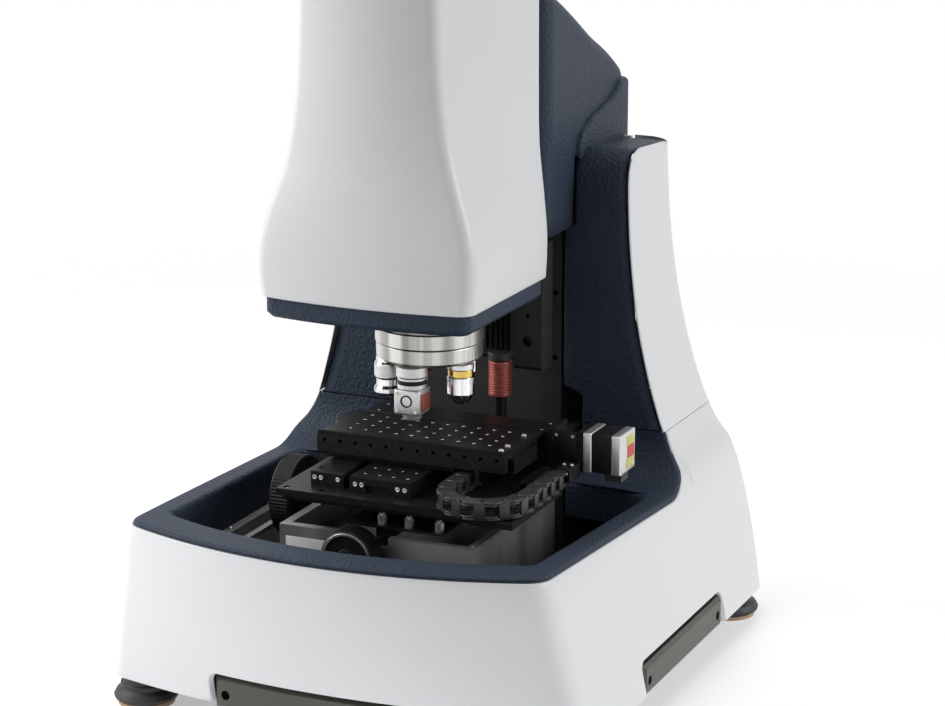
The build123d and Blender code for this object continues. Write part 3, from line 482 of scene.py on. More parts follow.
def cubic(knots, values, slopes, at):
    """Values on cubic curves through knots, with the slopes that are given at them."""
    i = np.clip(np.searchsorted(knots, at) - 1, 0, len(knots) - 2)
    gap = knots[i + 1] - knots[i]
    t = np.clip((at - knots[i]) / gap, 0.0, 1.0)
    rise = values[i + 1] - values[i]
    bend = t * (1 - t) * ((slopes[i] * gap - rise) * (1 - t) - (slopes[i + 1] * gap - rise) * t)
    return values[i] * (1 - t) + values[i + 1] * t + bend


def rounded(start, way_in, stop, way_out, radius, turn, t):
    """A rounded corner from start to stop: one cubic close to an arc of the given radius and turn."""
    handle = (radius * np.tan(turn / 4) * 4 / 3)[..., None]
    near, far = start + handle * way_in, stop - handle * way_out
    t = np.clip(t, 0, 1)[..., None]
    return start * (1 - t) ** 3 + 3 * near * t * (1 - t) ** 2 + 3 * far * t**2 * (1 - t) + stop * t**3


def directions(path):
    """Unit directions along a path of pairs."""
    way = np.gradient(path, axis=0)
    return way / np.linalg.norm(way, axis=1, keepdims=True)


def eased(points, edge=0.25):
    """A path with a small cut at each corner, and a point beyond each cut that keeps the flats flat.

    The cut leaves the corner by the edge length on both sides, or by a sixth of a shorter side.
    """
    path = np.array(points, float)
    sides = np.diff(path, axis=0)
    lengths = np.linalg.norm(sides, axis=1, keepdims=True)
    step = sides / lengths * np.minimum(edge, lengths / 6)
    corner, before, after = path[1:-1], step[:-1], step[1:]
    rows = np.stack([corner - 2 * before, corner - before, corner + after, corner + 2 * after], 1)
    return np.concatenate([path[:1], rows.reshape(-1, 2), path[-1:]])


class Shell:
    """A moulding given by plan sections: a bowed front, straight sides, a flat rear and rounded corners.

    A section is its height, half widths at front and rear, front corner, bow and rear. A place round it
    is a number s: 0 is the middle of the front, 1 to 2 the front corner, 2 to 3 the side, 3 to 4 the
    rear corner and 5 the middle of the rear; negative numbers are the left half.
    """

    def __init__(self, sections, front_radius, rear_radius):
        self.table = np.array(sections, float)
        self.front_radius, self.rear_radius = front_radius, rear_radius

    def section(self, z, inset):
        """Sizes, side direction and corner angles of the section at height z, drawn in by an inset."""
        heights = self.table[:, 0]
        sizes = [cubic(heights, values, np.gradient(values, heights), z) for values in self.table.T[1:]]
        near, far, front, bow, rear = sizes
        near, far, front, rear = near - inset, far - inset, front + inset, rear - inset
        radius = (near**2 + bow**2) / (2 * bow)
        end = np.arcsin(near / radius)
        side = np.stack([far - near, rear - front], -1)
        side = side / np.linalg.norm(side, axis=-1, keepdims=True)
        lean = np.arctan2(side[..., 1], side[..., 0])
        return near, far, front, bow, rear, radius, end, side, lean - end, pi - lean

    def points(self, s, z, inset=0.0):
        """Places on the moulding, in metres, from arrays of s, height and inset in millimetres."""
        s, z, inset = np.broadcast_arrays(*(np.asarray(values, float) for values in (s, z, inset)))
        near, far, front, bow, rear, radius, end, side, turn, back = self.section(z, inset)
        where = np.abs(s)
        cut = self.front_radius * np.tan(turn / 2)
        last = end - cut / radius
        centre = front - bow + radius

        def on_bow(swing):
            """Places on the bowed front."""
            return np.stack([radius * np.sin(swing), centre - radius * np.cos(swing)], -1)

        start, start_way = on_bow(last), np.stack([np.cos(last), np.sin(last)], -1)
        side_start = np.stack([near, front], -1) + cut[..., None] * side
        turned_in = rounded(start, start_way, side_start, side, self.front_radius, turn, where - 1)

        cut = self.rear_radius * np.tan(back / 2)
        corner = np.stack([far, rear], -1)
        side_end = corner - cut[..., None] * side
        rear_start = corner - np.stack([cut, np.zeros_like(cut)], -1)
        inward = np.array([-1.0, 0.0])
        turned_back = rounded(side_end, side, rear_start, inward, self.rear_radius, back, where - 3)

        along = np.clip(where - 2, 0, 1)[..., None]
        flank = side_start * (1 - along) + side_end * along
        along = np.clip(where - 4, 0, 1)[..., None]
        behind = rear_start * (1 - along) + rear_start * np.array([0.0, 1.0]) * along
        part = np.minimum(where, 4).astype(int)[..., None]
        flat = np.choose(part, [on_bow(np.clip(where, 0, 1) * last), turned_in, flank, turned_back, behind])
        x = flat[..., 0] * np.where(s < 0, -1.0, 1.0)
        return np.stack([x, flat[..., 1], z], -1) * MM

    def front_place(self, x, z):
        """The number s of a place on the bowed front at x."""
        radius, end, _, turn, _ = self.section(z, 0.0)[5:]
        return np.arcsin(x / radius) / (end - self.front_radius * np.tan(turn / 2) / radius)

    def side_place(self, y, z, inset=0.0):
        """The number s of a place on the right side at depth y."""
        start, stop = (self.points(s, z, inset)[..., 1] / MM for s in (2.0, 3.0))
        return 2 + np.clip((y - start) / (stop - start), 0, 1)

    def rear_place(self, x, z):
        """The number s of a place on the flat rear at x."""
        return 5 - x / (self.points(4.0, z)[..., 0] / MM)


HOUSING = Shell(
    [
        (26.0, 222.0, 222.0, -204.7, 29.3, 256.0),
        (70.0, 212.2, 213.0, -207.8, 37.4, 262.8),
        (115.0, 202.0, 204.0, -212.2, 42.0, 262.0),
        (163.0, 191.3, 196.0, -218.2, 44.0, 247.0),
        (172.0, 187.5, 193.0, -219.3, 44.0, 244.6),
        (185.0, 175.5, 184.0, -220.0, 44.0, 241.6),
        (206.0, 165.6, 174.0, -220.0, 44.0, 238.0),
        (235.0, 157.0, 164.5, -220.0, 44.0, 233.5),
        (267.0, 149.0, 156.0, -220.0, 44.0, 230.0),
        (300.0, 142.2, 149.0, -220.0, 44.0, 227.0),
        (345.0, 136.5, 142.5, -220.0, 44.0, 223.5),
        (400.0, 131.8, 138.0, -220.0, 44.0, 220.5),
        (460.0, 131.0, 136.0, -220.0, 44.0, 218.0),
    ],
    24.0,
    30.0,
)
HEAD_HEIGHTS = (359.5, 381, 400, 419, 436, 456, 475, 495, 517, 543, 605, 734, 741)
HEAD_FRONT_HALVES = (96.5, 99, 98.5, 95, 90, 82.5, 76, 71, 67.5, 64.5, 61.5, 60.5, 60.5)
HEAD_REAR_HALVES = (97, 98, 98, 96.5, 95, 93, 91.5, 91, 91, 91, 91, 91, 91)
HEAD_FRONTS = (-153, -153, -152.5, -151, -149, -146.5, -144, -142.8, -142, -141.5, -141, -140, -140)
HEAD = Shell(
    np.column_stack([HEAD_HEIGHTS, HEAD_FRONT_HALVES, HEAD_REAR_HALVES, HEAD_FRONTS, [10] * 13, [10] * 13]),
    14.0,
    8.0,
)
WELL = Shell([(level, 165.0, 172.0, -184.0, 39.0, 64.0) for level in (0.0, 300.0)], 12.0, 26.0)
WELL_BOTTOM = 129.0
COLUMN_GAP = 92.0
SEAM_GAP = 0.3
PROFILE_FRONT = -300.0
SWEEP_START = 59.0
SHELF_SLOPE = 0.0625
DECK_RISE = 1.4
DECK_FILLET = 42.0
SHOULDER_FILLET = 26.0


class SideProfile:
    """The side view of the deck, the sweep, the wing face, the rolled shoulder and the top.

    A place on it is its distance t behind the start of the sweep, negative on the deck; drop moves
    the curve inward, at right angles to itself.
    """

    def __init__(self, sizes):
        self.slope = (sizes.deck_front - sizes.deck_rear) / (SWEEP_START - PROFILE_FRONT)
        self.tilt = np.arctan(self.slope)
        self.base = sizes.deck_rear + DECK_RISE
        self.centre = self.base + DECK_FILLET
        self.face = sizes.wing_face
        self.top = sizes.wing_top
        self.rise = self.top - SHOULDER_FILLET - self.centre
        self.roll = SHOULDER_FILLET * pi / 2

    def deck(self, y, drop=0.0):
        """Height of the sloping deck at depth y."""
        return self.base - self.slope * (y - SWEEP_START) - drop

    def height(self, y, drop=0.0):
        """Height at depth y: the sloping deck, then the quarter circle that sweeps up to the column."""
        radius = DECK_FILLET + drop
        reach = np.clip(y - SWEEP_START, 0, radius)
        return np.where(y < SWEEP_START, self.deck(y, drop), self.centre - np.sqrt(radius**2 - reach**2))

    def at(self, t, drop=0.0):
        """Depth and height at a distance along the profile."""
        t, drop = np.broadcast_arrays(np.asarray(t, float), np.asarray(drop, float))
        deck_y = SWEEP_START + t * np.cos(self.tilt)
        swing = np.clip(t / DECK_FILLET, 0, pi / 2)
        radius = DECK_FILLET + drop
        climb = t - DECK_FILLET * pi / 2
        over = np.clip((climb - self.rise) / SHOULDER_FILLET, 0, pi / 2)
        small = SHOULDER_FILLET - drop
        shoulder = self.face + SHOULDER_FILLET
        back = climb - self.rise - self.roll
        part = (t > 0).astype(int) + (climb > 0) + (climb > self.rise) + (back > 0)
        y = [deck_y, SWEEP_START + radius * np.sin(swing), self.face + drop]
        y += [shoulder - small * np.cos(over), shoulder + back]
        z = [self.deck(deck_y, drop), self.centre - radius * np.cos(swing), self.centre + climb]
        z += [self.top - SHOULDER_FILLET + small * np.sin(over), self.top - drop - SHELF_SLOPE * back]
        return np.choose(part, y), np.choose(part, z)

    def place(self, y):
        """Distance t of a place on the deck at depth y."""
        return (y - SWEEP_START) / np.cos(self.tilt)

    def up_to(self, z):
        """Distance t of a place on the wing face at height z."""
        return DECK_FILLET * pi / 2 + z - self.centre


# Mouldings

NOTCH_TOP = 55.0
NOTCH_RADIUS = 9.0
FRONT_NOTCH = (-107.0, 107.0)
SIDE_NOTCH = (-70.0, 134.0)
HOUSING_DROP = 4.4


def notch(start, stop, low):
    """A rounded notch in a lower edge: up one side, round the corner, along the top and down again."""
    level, radius = NOTCH_TOP - NOTCH_RADIUS, NOTCH_RADIUS
    rise = np.linspace(low, level, 3)
    left_x, left_z = arc((start + radius, level), radius, 180, 90, 6)
    right_x, right_z = arc((stop - radius, level), radius, 90, 0, 6)
    middle = np.linspace(start + radius, stop - radius, 24)[1:-1]
    across = np.concatenate([[start] * 3, left_x, middle, right_x, [stop] * 3])
    height = np.concatenate([rise, left_z, np.full(len(middle), NOTCH_TOP), right_z, rise[::-1]])
    return across, height


def lipped(shell, s, z, wall, edge=0.9, deeper=0.0):
    """Rows of a moulding with rounded edges that turn inward by the wall at both ends.

    The first and last columns lie inside by the wall, and a quarter round of the given radius joins
    them to the outer face. All of it is drawn in by a further depth.
    """
    inward, along = (row[::-1] for row in quarter(edge, 4))
    way = np.sign(z[:, -1:] - z[:, :1])
    first_z, last_z = z[:, :1] + way * along, z[:, -1:] - way * along[::-1]
    s_rows = np.concatenate([s[:, :1]] * 5 + [s[:, 1:-1]] + [s[:, -1:]] * 5, axis=1)
    z_rows = np.concatenate([first_z[:, :1], first_z, z[:, 1:-1], last_z, last_z[:, -1:]], axis=1)
    inset = np.concatenate([[wall], inward, np.zeros(z.shape[1] - 2), inward[::-1], [wall]])
    return shell.points(s_rows, z_rows, inset[None, :] + deeper)


class PROFILER_OT_housing(bpy.types.Operator):
    """Make the white lower housing with its notches for the handle bars"""

    bl_idname = "profiler.housing"
    bl_label = "Housing"

    def execute(self, context):
        sizes = context.scene.profiler_sizes
        side = SideProfile(sizes)
        low, seam = sizes.shell_bottom, sizes.seam - SEAM_GAP
        front_x, front_z = notch(*FRONT_NOTCH, low)
        front_x, front_z = front_x[front_x >= 0], front_z[front_x >= 0]
        front_s = HOUSING.front_place(front_x, front_z)
        side_y, side_z = notch(*SIDE_NOTCH, low)
        side_s = HOUSING.side_place(side_y, side_z)
        ahead = legs(front_s[-1], (1.0, 7), (2.0, 13), (side_s[0], 9))[1:-1]
        behind = legs(side_s[-1], (3.0, 9), (4.0, 9), (5.0, 9))[1:]
        bottom_s = np.concatenate([front_s, ahead, side_s, behind])
        bottom_z = np.concatenate([front_z, np.full(len(ahead), low), side_z, np.full(len(behind), low)])
        marks = [np.argmin(np.abs(bottom_s - mark)) for mark in range(6)]
        top_s = np.interp(np.arange(len(bottom_s)), marks, range(6))
        top_z = np.full(len(top_s), 170.0)
        for _ in range(8):
            y = HOUSING.points(top_s, top_z)[..., 1] / MM
            swept = y > SWEEP_START + DECK_FILLET + HOUSING_DROP
            top_z = np.minimum(np.where(swept, seam, side.height(y, HOUSING_DROP)), seam)
        s, z = between(bottom_s, top_s, 26), between(bottom_z, top_z, 26)
        full_s, full_z = np.concatenate([-s[::-1], s[1:]]), np.concatenate([z[::-1], z[1:]])
        made = grid_mesh("housing_shell", lipped(HOUSING, full_s, full_z, sizes.shell_wall), "white", "frame")
        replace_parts(made, "lower_housing")
        return {"FINISHED"}


COVER_REAR = 205.0
COVER_EDGE = 95.3
SHELF_REAR = (223.0, 448.0)
# Depth and radius of the covers' rolled edges, the insets of the rim's rows and the place of the row by it
COVER_LIP = (1.0, 0.5)
RIM_INSETS = (1.2, 0.9, 0.3, 0.0)
RIM_SHARE = 0.06


class PROFILER_OT_side_covers(bpy.types.Operator):
    """Make the two white side covers of the column, with their rolled tops"""

    bl_idname = "profiler.side_covers"
    bl_label = "Side covers"

    def execute(self, context):
        sizes = context.scene.profiler_sizes
        shoulder = sizes.wing_face + SHOULDER_FILLET
        roll = arc((shoulder, sizes.wing_top - SHOULDER_FILLET), SHOULDER_FILLET, 180, 90, 12)
        shelf_y = np.linspace(shoulder, COVER_REAR, 12)[1:]
        top_y = np.concatenate([roll[0], shelf_y])
        top_z = np.concatenate([roll[1], np.interp(shelf_y, *zip((shoulder, sizes.wing_top), SHELF_REAR))])
        bottom_y = np.linspace(sizes.wing_face, COVER_REAR, len(top_y))
        bottom_z = np.full(len(top_y) + 16, sizes.seam + SEAM_GAP)
        ends = [HOUSING.side_place(bottom_y, bottom_z[: len(top_y)]), HOUSING.side_place(top_y, top_z)]
        bottom_s, top_s = (
            np.concatenate([s, legs(s[-1], (3.0, 4), (4.0, 9))[1:], [4.1, 4.2, 4.27]]) for s in ends
        )
        top_z = np.concatenate([top_z, [SHELF_REAR[1] + 0.4] * 4, [SHELF_REAR[1]] * 12])
        s, z = between(bottom_s, top_s, 40), between(bottom_z, top_z, 40)
        s[-3:] = 4 + (HOUSING.rear_place(COVER_EDGE, z[-3:]) - 4) * np.array([[0.33], [0.67], [1.0]])
        for name, sign in (("right_cover", 1.0), ("left_cover", -1.0)):
            grids = s * sign, z
            rows = [lipped(HOUSING, *(grid[:1] for grid in grids), *COVER_LIP, deep) for deep in RIM_INSETS]
            near = (grid[:1] * (1 - RIM_SHARE) + grid[1:2] * RIM_SHARE for grid in grids)
            rows += [lipped(HOUSING, *row, *COVER_LIP) for row in (near, (grid[1:] for grid in grids))]
            made = grid_mesh(name + "_shell", np.concatenate(rows), "white", "frame")
            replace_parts(made, name.replace("cover", "side_cover"))
        return {"FINISHED"}


CROWN_RADIUS = 7.0
CROWN_MIDDLE_Y = -65.0
HEAD_FOOT = 1.2
HEAD_LIP = 4.0


class PROFILER_OT_head(bpy.types.Operator):
    """Make the white head cover, closed by a rounded crown"""

    bl_idname = "profiler.head"
    bl_label = "Head"

    def execute(self, context):
        sizes = context.scene.profiler_sizes
        half = legs(0.0, (1, 13), (2, 11), (3, 15), (4, 8), (5, 7))
        s = np.concatenate([-half[::-1], half[1:-1]])
        crown_in, crown_down = quarter(CROWN_RADIUS, 9)
        low, high = sizes.head_bottom, sizes.head_top
        body_z = np.linspace(low + HEAD_FOOT, high - CROWN_RADIUS, 90)[:-1]
        z = np.concatenate([[low, low, low + 0.35], body_z, high - crown_down, [high, high]])
        inset = np.concatenate([[HEAD_LIP, HEAD_FOOT, 0.35], body_z * 0, crown_in, [CROWN_RADIUS] * 2])
        points = HEAD.points(s[:, None], z[None, :], inset[None, :])
        middle = np.array([0.0, CROWN_MIDDLE_Y, high]) * MM
        points[:, -2] = points[:, -2] * 0.5 + middle * 0.5
        points[:, -1] = middle
        made = grid_mesh("head_shell", points, "white", "head", wrap=True)
        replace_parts(made, "head_cover")
        return {"FINISHED"}


RIM_RADIUS = 5.0
RIM_EDGE = 3.4
SIDE_START = -200.0
SIDE_END = 30.0
# Inset and drop of each step of the bead round the deck's outer edge
BEAD = ((2.2, 0.25), (1.3, 0.8), (0.8, 1.7), (0.9, 2.4), (1.8, 2.7), (0.9, 3.0), (0.75, 3.6))
BEAD += ((1.2, 4.2), (3.0, 4.3))


class PROFILER_OT_deck(bpy.types.Operator):
    """Make the blue deck: a beaded rim, the band round the well, the well's walls and the sweep behind"""

    bl_idname = "profiler.deck"
    bl_label = "Deck"

    def execute(self, context):
        sizes = context.scene.profiler_sizes
        side = SideProfile(sizes)
        top = side.up_to(sizes.seam - SEAM_GAP)
        front = HOUSING.points(2.0, side.at(side.place(SIDE_START))[1], 0.8)[..., 1] / MM
        outer_t = legs(top, (0.0, 13), (side.place(SIDE_END), 7), (side.place(front), 19))
        outer_s = legs(2.0, (1.0, 13), (0.0, 21))[1:]
        inner_t = np.linspace(top, side.place(WELL.table[0, 5]), 14)
        gap = WELL.rear_place(COLUMN_GAP, 0.0)
        inner_s = legs(gap, (3.0, 7), (2.0, 19), (1.0, 13), (0.0, 21))[1:]

        def outer(inset, drop):
            """Places round the outer edge, drawn in and down."""
            y, z = side.at(outer_t, drop)
            flank = HOUSING.points(HOUSING.side_place(y, z, inset), z, inset) / MM
            z = np.full(len(outer_s), sizes.deck_rear)
            for _ in range(4):
                ahead = HOUSING.points(outer_s, z, inset) / MM
                z = side.at(side.place(ahead[..., 1]), drop)[1]
            return np.concatenate([flank, np.column_stack([ahead[:, :2], z])])

        def inner(outset, drop):
            """Places round the well's edge, moved out and down."""
            y, z = side.at(inner_t, drop)
            edge = np.column_stack([np.full(len(y), COLUMN_GAP + outset), y, z])
            well = WELL.points(inner_s, 100.0, -outset) / MM
            z = side.at(side.place(well[..., 1]), drop)[1]
            return np.concatenate([edge, np.column_stack([well[:, :2], z])])

        wall = inner(0.0, RIM_RADIUS)
        foot = wall.copy()
        last = len(inner_t) - 1
        foot[last:, 2] = WELL_BOTTOM
        foot[:last, 1] += 4.0
        rows = straight(foot, wall, 6)[:-1]
        rows += [inner(*step) for step in zip(*quarter(RIM_RADIUS, 6))]
        out_edge, in_edge = outer(RIM_EDGE, 0.0), inner(RIM_RADIUS, 0.0)
        out_t = np.concatenate([outer_t, side.place(out_edge[len(outer_t) :, 1])])
        in_t = np.concatenate([inner_t, side.place(in_edge[len(inner_t) :, 1])])
        for x, t in zip(straight(in_edge[:, 0], out_edge[:, 0], 8)[1:-1], straight(in_t, out_t, 8)[1:-1]):
            rows.append(np.column_stack([x, *side.at(t)]))
        rows.append(out_edge)
        rows += [outer(inset, drop) for inset, drop in BEAD]
        points = mirrored(np.stack(rows, 1) * MM)
        made = grid_mesh("deck_shell", points, "blue", "frame", seen_from=(0, -60, 900))
        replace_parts(made, "deck_liner")
        return {"FINISHED"}


WING_INNER = 83.3
WING_DEPTH = 1.6
WING_RADIUS = 3.0
SHELF_LENGTH = 76.0
# Half width of the opening between the wing faces, by height
OPENING_Z = (206.0, 231.0, 238.0, 260.0, 384.0, 386.0, 600.0)
OPENING_X = (COLUMN_GAP, COLUMN_GAP, 74.0, 73.5, 73.5, WING_INNER, WING_INNER)
# Height of the cowl's upper edge, by depth
COWL_Y = (104.0, 106.0, 113.0, 137.0, 165.0, 185.0, 197.0, 207.0, 232.0)
COWL_Z = (447.0, 456.0, 466.0, 476.5, 482.5, 487.0, 493.0, 499.5, 499.5)
COWL_OUT = 4.6
COWL_RADIUS = 4.4
COWL_CORNER = 14.0
COWL_TURN = 218.0


class PROFILER_OT_column(bpy.types.Operator):
    """Make the blue wing faces with their rolled shoulders, and the cowl round the foot of the hood"""

    bl_idname = "profiler.column"
    bl_label = "Column"

    def execute(self, context):
        sizes = context.scene.profiler_sizes
        side = SideProfile(sizes)
        low = side.up_to(sizes.seam + SEAM_GAP)
        high = side.up_to(sizes.wing_top - SHOULDER_FILLET) + side.roll
        t = legs(low, (high - side.roll, 69), (high, 13), (high + SHELF_LENGTH, 9))
        y, z = side.at(t, WING_DEPTH)
        inner_x = np.where(t > high - side.roll, WING_INNER, np.interp(z, OPENING_Z, OPENING_X))
        inset = sizes.shell_wall + 0.7
        outer_x = HOUSING.points(HOUSING.side_place(y, z, inset), z, inset)[..., 0] / MM
        edge = [(0.0, 14.0), (0.0, 8.0), *zip(*quarter(WING_RADIUS, 6))]
        rows = [np.column_stack([inner_x + move, *side.at(t, WING_DEPTH + drop)]) for move, drop in edge]
        rows += [np.column_stack([x, y, z]) for x in straight(inner_x + WING_RADIUS, outer_x, 8)[1:]]
        rows.append(np.column_stack([outer_x, *side.at(t, WING_DEPTH + WING_RADIUS)]))
        half = np.stack(rows, 1) * MM
        for name, way in (("right", MIRROR**2), ("left", MIRROR)):
            made = grid_mesh("wing_face_" + name, half * way, "blue", "frame", seen_from=(0, -600, 900))
            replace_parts(made, "column_liner")

        width = sizes.hood_half + COWL_OUT
        inside = width - COWL_CORNER
        run_y = legs(COWL_Y[0], (COWL_Y[2], 7), (COWL_TURN, 35))
        bend_x, bend_y = arc((inside, COWL_TURN), COWL_CORNER, 0, 90, 9)
        path_x = np.concatenate([np.full(len(run_y), width), bend_x[1:], np.linspace(inside, 0.0, 10)[1:]])
        path_y = np.concatenate([run_y, bend_y[1:], np.full(9, COWL_Y[-1])])
        path_z = np.where(path_y > 206.0, COWL_Z[-1], np.interp(path_y, COWL_Y, COWL_Z))
        path = np.column_stack([path_x, path_y])
        way = directions(path)
        inward = np.column_stack([-way[:, 1], way[:, 0]])
        rows = [np.column_stack([path, np.full(len(path_x), level)]) for level in (444.0, 449.0)]
        for move, drop in zip(*quarter(COWL_RADIUS, 6)):
            rows.append(np.column_stack([path + inward * move, path_z - drop]))
        shelf = path + inward * np.where(path_y > 215, 24.0, 5.0)[:, None]
        rows.append(np.column_stack([shelf, path_z]))
        grid_mesh("cowl", mirrored(np.stack(rows, 1) * MM), "blue", "frame")
        return {"FINISHED"}


HOOD_FRONT = 37.0
HOOD_CORNER = 16.0
HOOD_RADIUS = 13.0
HOOD_KNOTS_Y = np.array([37.0, 70.0, 106.0, 150.0, 192.0, 218.0])
HOOD_KNOTS_Z = np.array([603.0, 590.0, 572.0, 548.0, 528.0, 513.0])
FRONT_SLOPE = -0.18
STEP_Y = 99.0
FOOT_FRONT = 385.0
FOOT_REAR = 446.0
LIP_CENTRE = (214.0, 507.0)
LIP_RADIUS = 7.0
LIP_END = [(204.0, 499.0), (203.0, 496.0)]
LEAN_REACH = 20.0
SHEET = 0.003
SLOT_Y = 133.0
SLOT_HALF = 14.0
SLOT_RADIUS = 3.0
SLOT_PITCH = 13.0
SLOT_RAISE = 0.15
SLOT_DEPTH = 2.0


class PROFILER_OT_hood(bpy.types.Operator):
    """Make the hood: a dome that falls to the rear, with rounded edges, upright sides and slots drawn as dark
    prisms of painted shade
    """

    bl_idname = "profiler.hood"
    bl_label = "Hood"

    def execute(self, context):
        width = context.scene.profiler_sizes.hood_half
        inside = width - HOOD_RADIUS
        lead_y = HOOD_FRONT + quarter(HOOD_CORNER, 10)[0]
        y = np.concatenate([lead_y, np.linspace(HOOD_FRONT + HOOD_CORNER, HOOD_KNOTS_Y[-1], 40)[1:]])
        slopes = np.gradient(HOOD_KNOTS_Z, HOOD_KNOTS_Y)
        slopes[0] = FRONT_SLOPE
        dome = np.column_stack([y, cubic(HOOD_KNOTS_Y, HOOD_KNOTS_Z, slopes, y)])[:-1]
        path = np.concatenate([dome, np.column_stack(arc(LIP_CENTRE, LIP_RADIUS, 50, -60, 7)), LIP_END])
        y, z = path.T
        way = directions(path)
        down = np.column_stack([way[:, 1] * np.clip((y - HOOD_FRONT) / LEAN_REACH, 0, 1), -way[:, 0]])
        down[len(dome) :] = down[len(dome) - 1]
        rows = [np.column_stack([np.full(len(y), x), y, z]) for x in np.linspace(0.0, inside, 9)[:-1]]
        for move, short in zip(*quarter(HOOD_RADIUS, 9)):
            across = np.full(len(y), width - short)
            rows.append(np.column_stack([across, y + down[:, 0] * move, z + down[:, 1] * move]))
        foot = np.where(rows[-1][:, 1] < STEP_Y, FOOT_FRONT, FOOT_REAR)
        rows += straight(rows[-1], np.column_stack([rows[-1][:, :2], foot]), 12)[1:]
        half = np.stack(rows, 1)
        near = 1 - np.clip((half[..., 1] - HOOD_FRONT) / HOOD_CORNER, 0, 1)
        half[..., 0] *= 1 - HOOD_CORNER / width * (1 - np.sqrt(1 - near**2))
        full = np.concatenate([half[:, ::-1][:, :-1] * MIRROR, half], axis=1) * MM
        made = grid_mesh("hood_shell", full, "blue", "frame")
        thick = made.modifiers.new("thickness", "SOLIDIFY")
        thick.thickness, thick.offset = SHEET, -1.0
        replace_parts(made, "hood")

        # painted shade: each slot is a dark prism raised just above the dome, standing in for the shade
        # inside an opening
        ends = np.radians(np.concatenate([np.linspace(0, 180, 9), np.linspace(180, 360, 9)]))
        slot_y = SLOT_Y + np.repeat([SLOT_HALF, -SLOT_HALF], 9) + SLOT_RADIUS * np.sin(ends)
        slots = []
        for x in grid_places(ORIGIN, (SLOT_PITCH, 1.0), (11, 1))[:, 0]:
            level = np.interp(slot_y, *dome.T) + SLOT_RAISE
            top = np.column_stack([x + SLOT_RADIUS * np.cos(ends), slot_y, level])
            middle = np.broadcast_to(top.mean(axis=0), top.shape)
            low = UPRIGHT * SLOT_DEPTH
            slots.append(np.stack([middle, top, top - low, middle - low], 1) * MM)
        merged("hood_slots", slots, "void", "frame")
        return {"FINISHED"}


# Turned and milled details


def lathe(profile, centre=ORIGIN, axis="Z", count=64, knurl=None, edge=0.25):
    """Places on a turned body: radius and height points swept round an axis through a centre.

    The profile is brought in to the axis at both ends, unless it is a ring that ends where it starts.
    A knurl (ribs, depth, low, high) draws the radius in by a cosine wave between two heights.
    """
    profile = np.array(profile, float)
    if not np.allclose(profile[0], profile[-1]):
        first, last = profile[:1] * (0.0, 1.0), profile[-1:] * (0.0, 1.0)
        profile = np.concatenate([first[profile[:1, 0] > 0], profile, last[profile[-1:, 0] > 0]])
    radius, height = eased(profile, edge).T
    swing = np.linspace(0, 2 * pi, count, endpoint=False)[:, None]
    spread = np.broadcast_to(radius, (count, len(radius))).copy()
    if knurl:
        ribs, depth, low, high = knurl
        spread -= ((height > low) & (height < high)) * depth * 0.5 * (1 + np.cos(ribs * swing))
    first, second = spread * np.cos(swing), spread * np.sin(swing)
    up = np.broadcast_to(height, first.shape)
    order = {"Z": (first, second, up), "Y": (second, up, first), "X": (up, first, second)}[axis]
    return (np.stack(order, -1) + np.array(centre, float)) * MM


def turned(name, profile, centre, finish, body, axis="Z", count=64, knurl=None, edge=0.25):
    """One piece with the shape of a turned body."""
    return grid_mesh(name, lathe(profile, centre, axis, count, knurl, edge), finish, body, wrap=True)


def lens(name, centre, radius, low, rise):
    """A hollow-faced lens: its lower face climbs from the rim to the axis, and its back is flat."""
    top = low + rise
    face = [(0, top), (radius - 1, low + rise * 0.75), (radius, low), (radius, top + 0.2), (0, top + 0.2)]
    turned(name, face, centre, "glass", "turret")


def slab(low, high, edge=0.6):
    """Places on a box with rounded edges, from its two corners: a ball's places, moved out to the box.

    Each eighth of the ball keeps its own corner, so the gaps between them make the flats.
    """
    low, high = np.array(low, float), np.array(high, float)
    centre, half = (low + high) / 2, (high - low) / 2 - edge
    turn = np.radians([0.0, 30.0, 60.0, 90.0])
    swing = (turn + np.radians([[0], [90], [180], [270]])).reshape(-1, 1)
    rise = np.concatenate([turn - pi / 2, turn])
    signs = np.repeat([[1, 1], [-1, 1], [-1, -1], [1, -1]], 4, axis=0)
    x = signs[:, :1] * half[0] + edge * np.cos(swing) * np.cos(rise)
    y = signs[:, 1:] * half[1] + edge * np.sin(swing) * np.cos(rise)
    z = np.repeat([-1.0, 1.0], 4) * half[2] + edge * np.sin(rise) + x * 0
    body = np.stack([x, y, z], -1)
    return (np.concatenate([body[:, :1] * UPRIGHT, body, body[:, -1:] * UPRIGHT], axis=1) + centre) * MM


def box_piece(name, low, high, finish, body, edge=0.6):
    """One piece with the shape of a box with rounded edges."""
    return grid_mesh(name, slab(low, high, edge), finish, body, wrap=True)


def prism(outline, low, high, edge=0.3):
    """Places on an upright plate with the given outline, closed above and below, with small cut edges.

    The cap's rings are the outline drawn towards its middle, by the edge length over the mean reach.
    """
    outline = np.array(outline, float)
    middle = outline.mean(axis=0)
    share = edge / np.linalg.norm(outline - middle, axis=1).mean()
    shrink = np.array([1.0, 3 * share, share, 0, 0, share, 3 * share, 1.0])[None, :, None]
    level = np.array([low, low, low, low + edge, high - edge, high, high, high])[None, :, None]
    flat = outline[:, None] * (1 - shrink) + middle * shrink
    return np.concatenate([flat, np.broadcast_to(level, (*flat.shape[:2], 1))], -1) * MM


def screws(name, places, radius, height, finish, body, axis="Z"):
    """Socket head screws at many places: heads with a round socket, their seats at the given places."""
    deep = height * 0.45
    head = [(0, deep), (radius * 0.5, deep), (radius * 0.5, height), (radius, height), (radius, 0)]
    flip = (1.0, -1.0 if axis.startswith("-") else 1.0)
    shape = lathe(np.array(head) * flip, axis=axis[-1], count=20, edge=radius * 0.1)
    return copies(name, shape, places, finish, body)


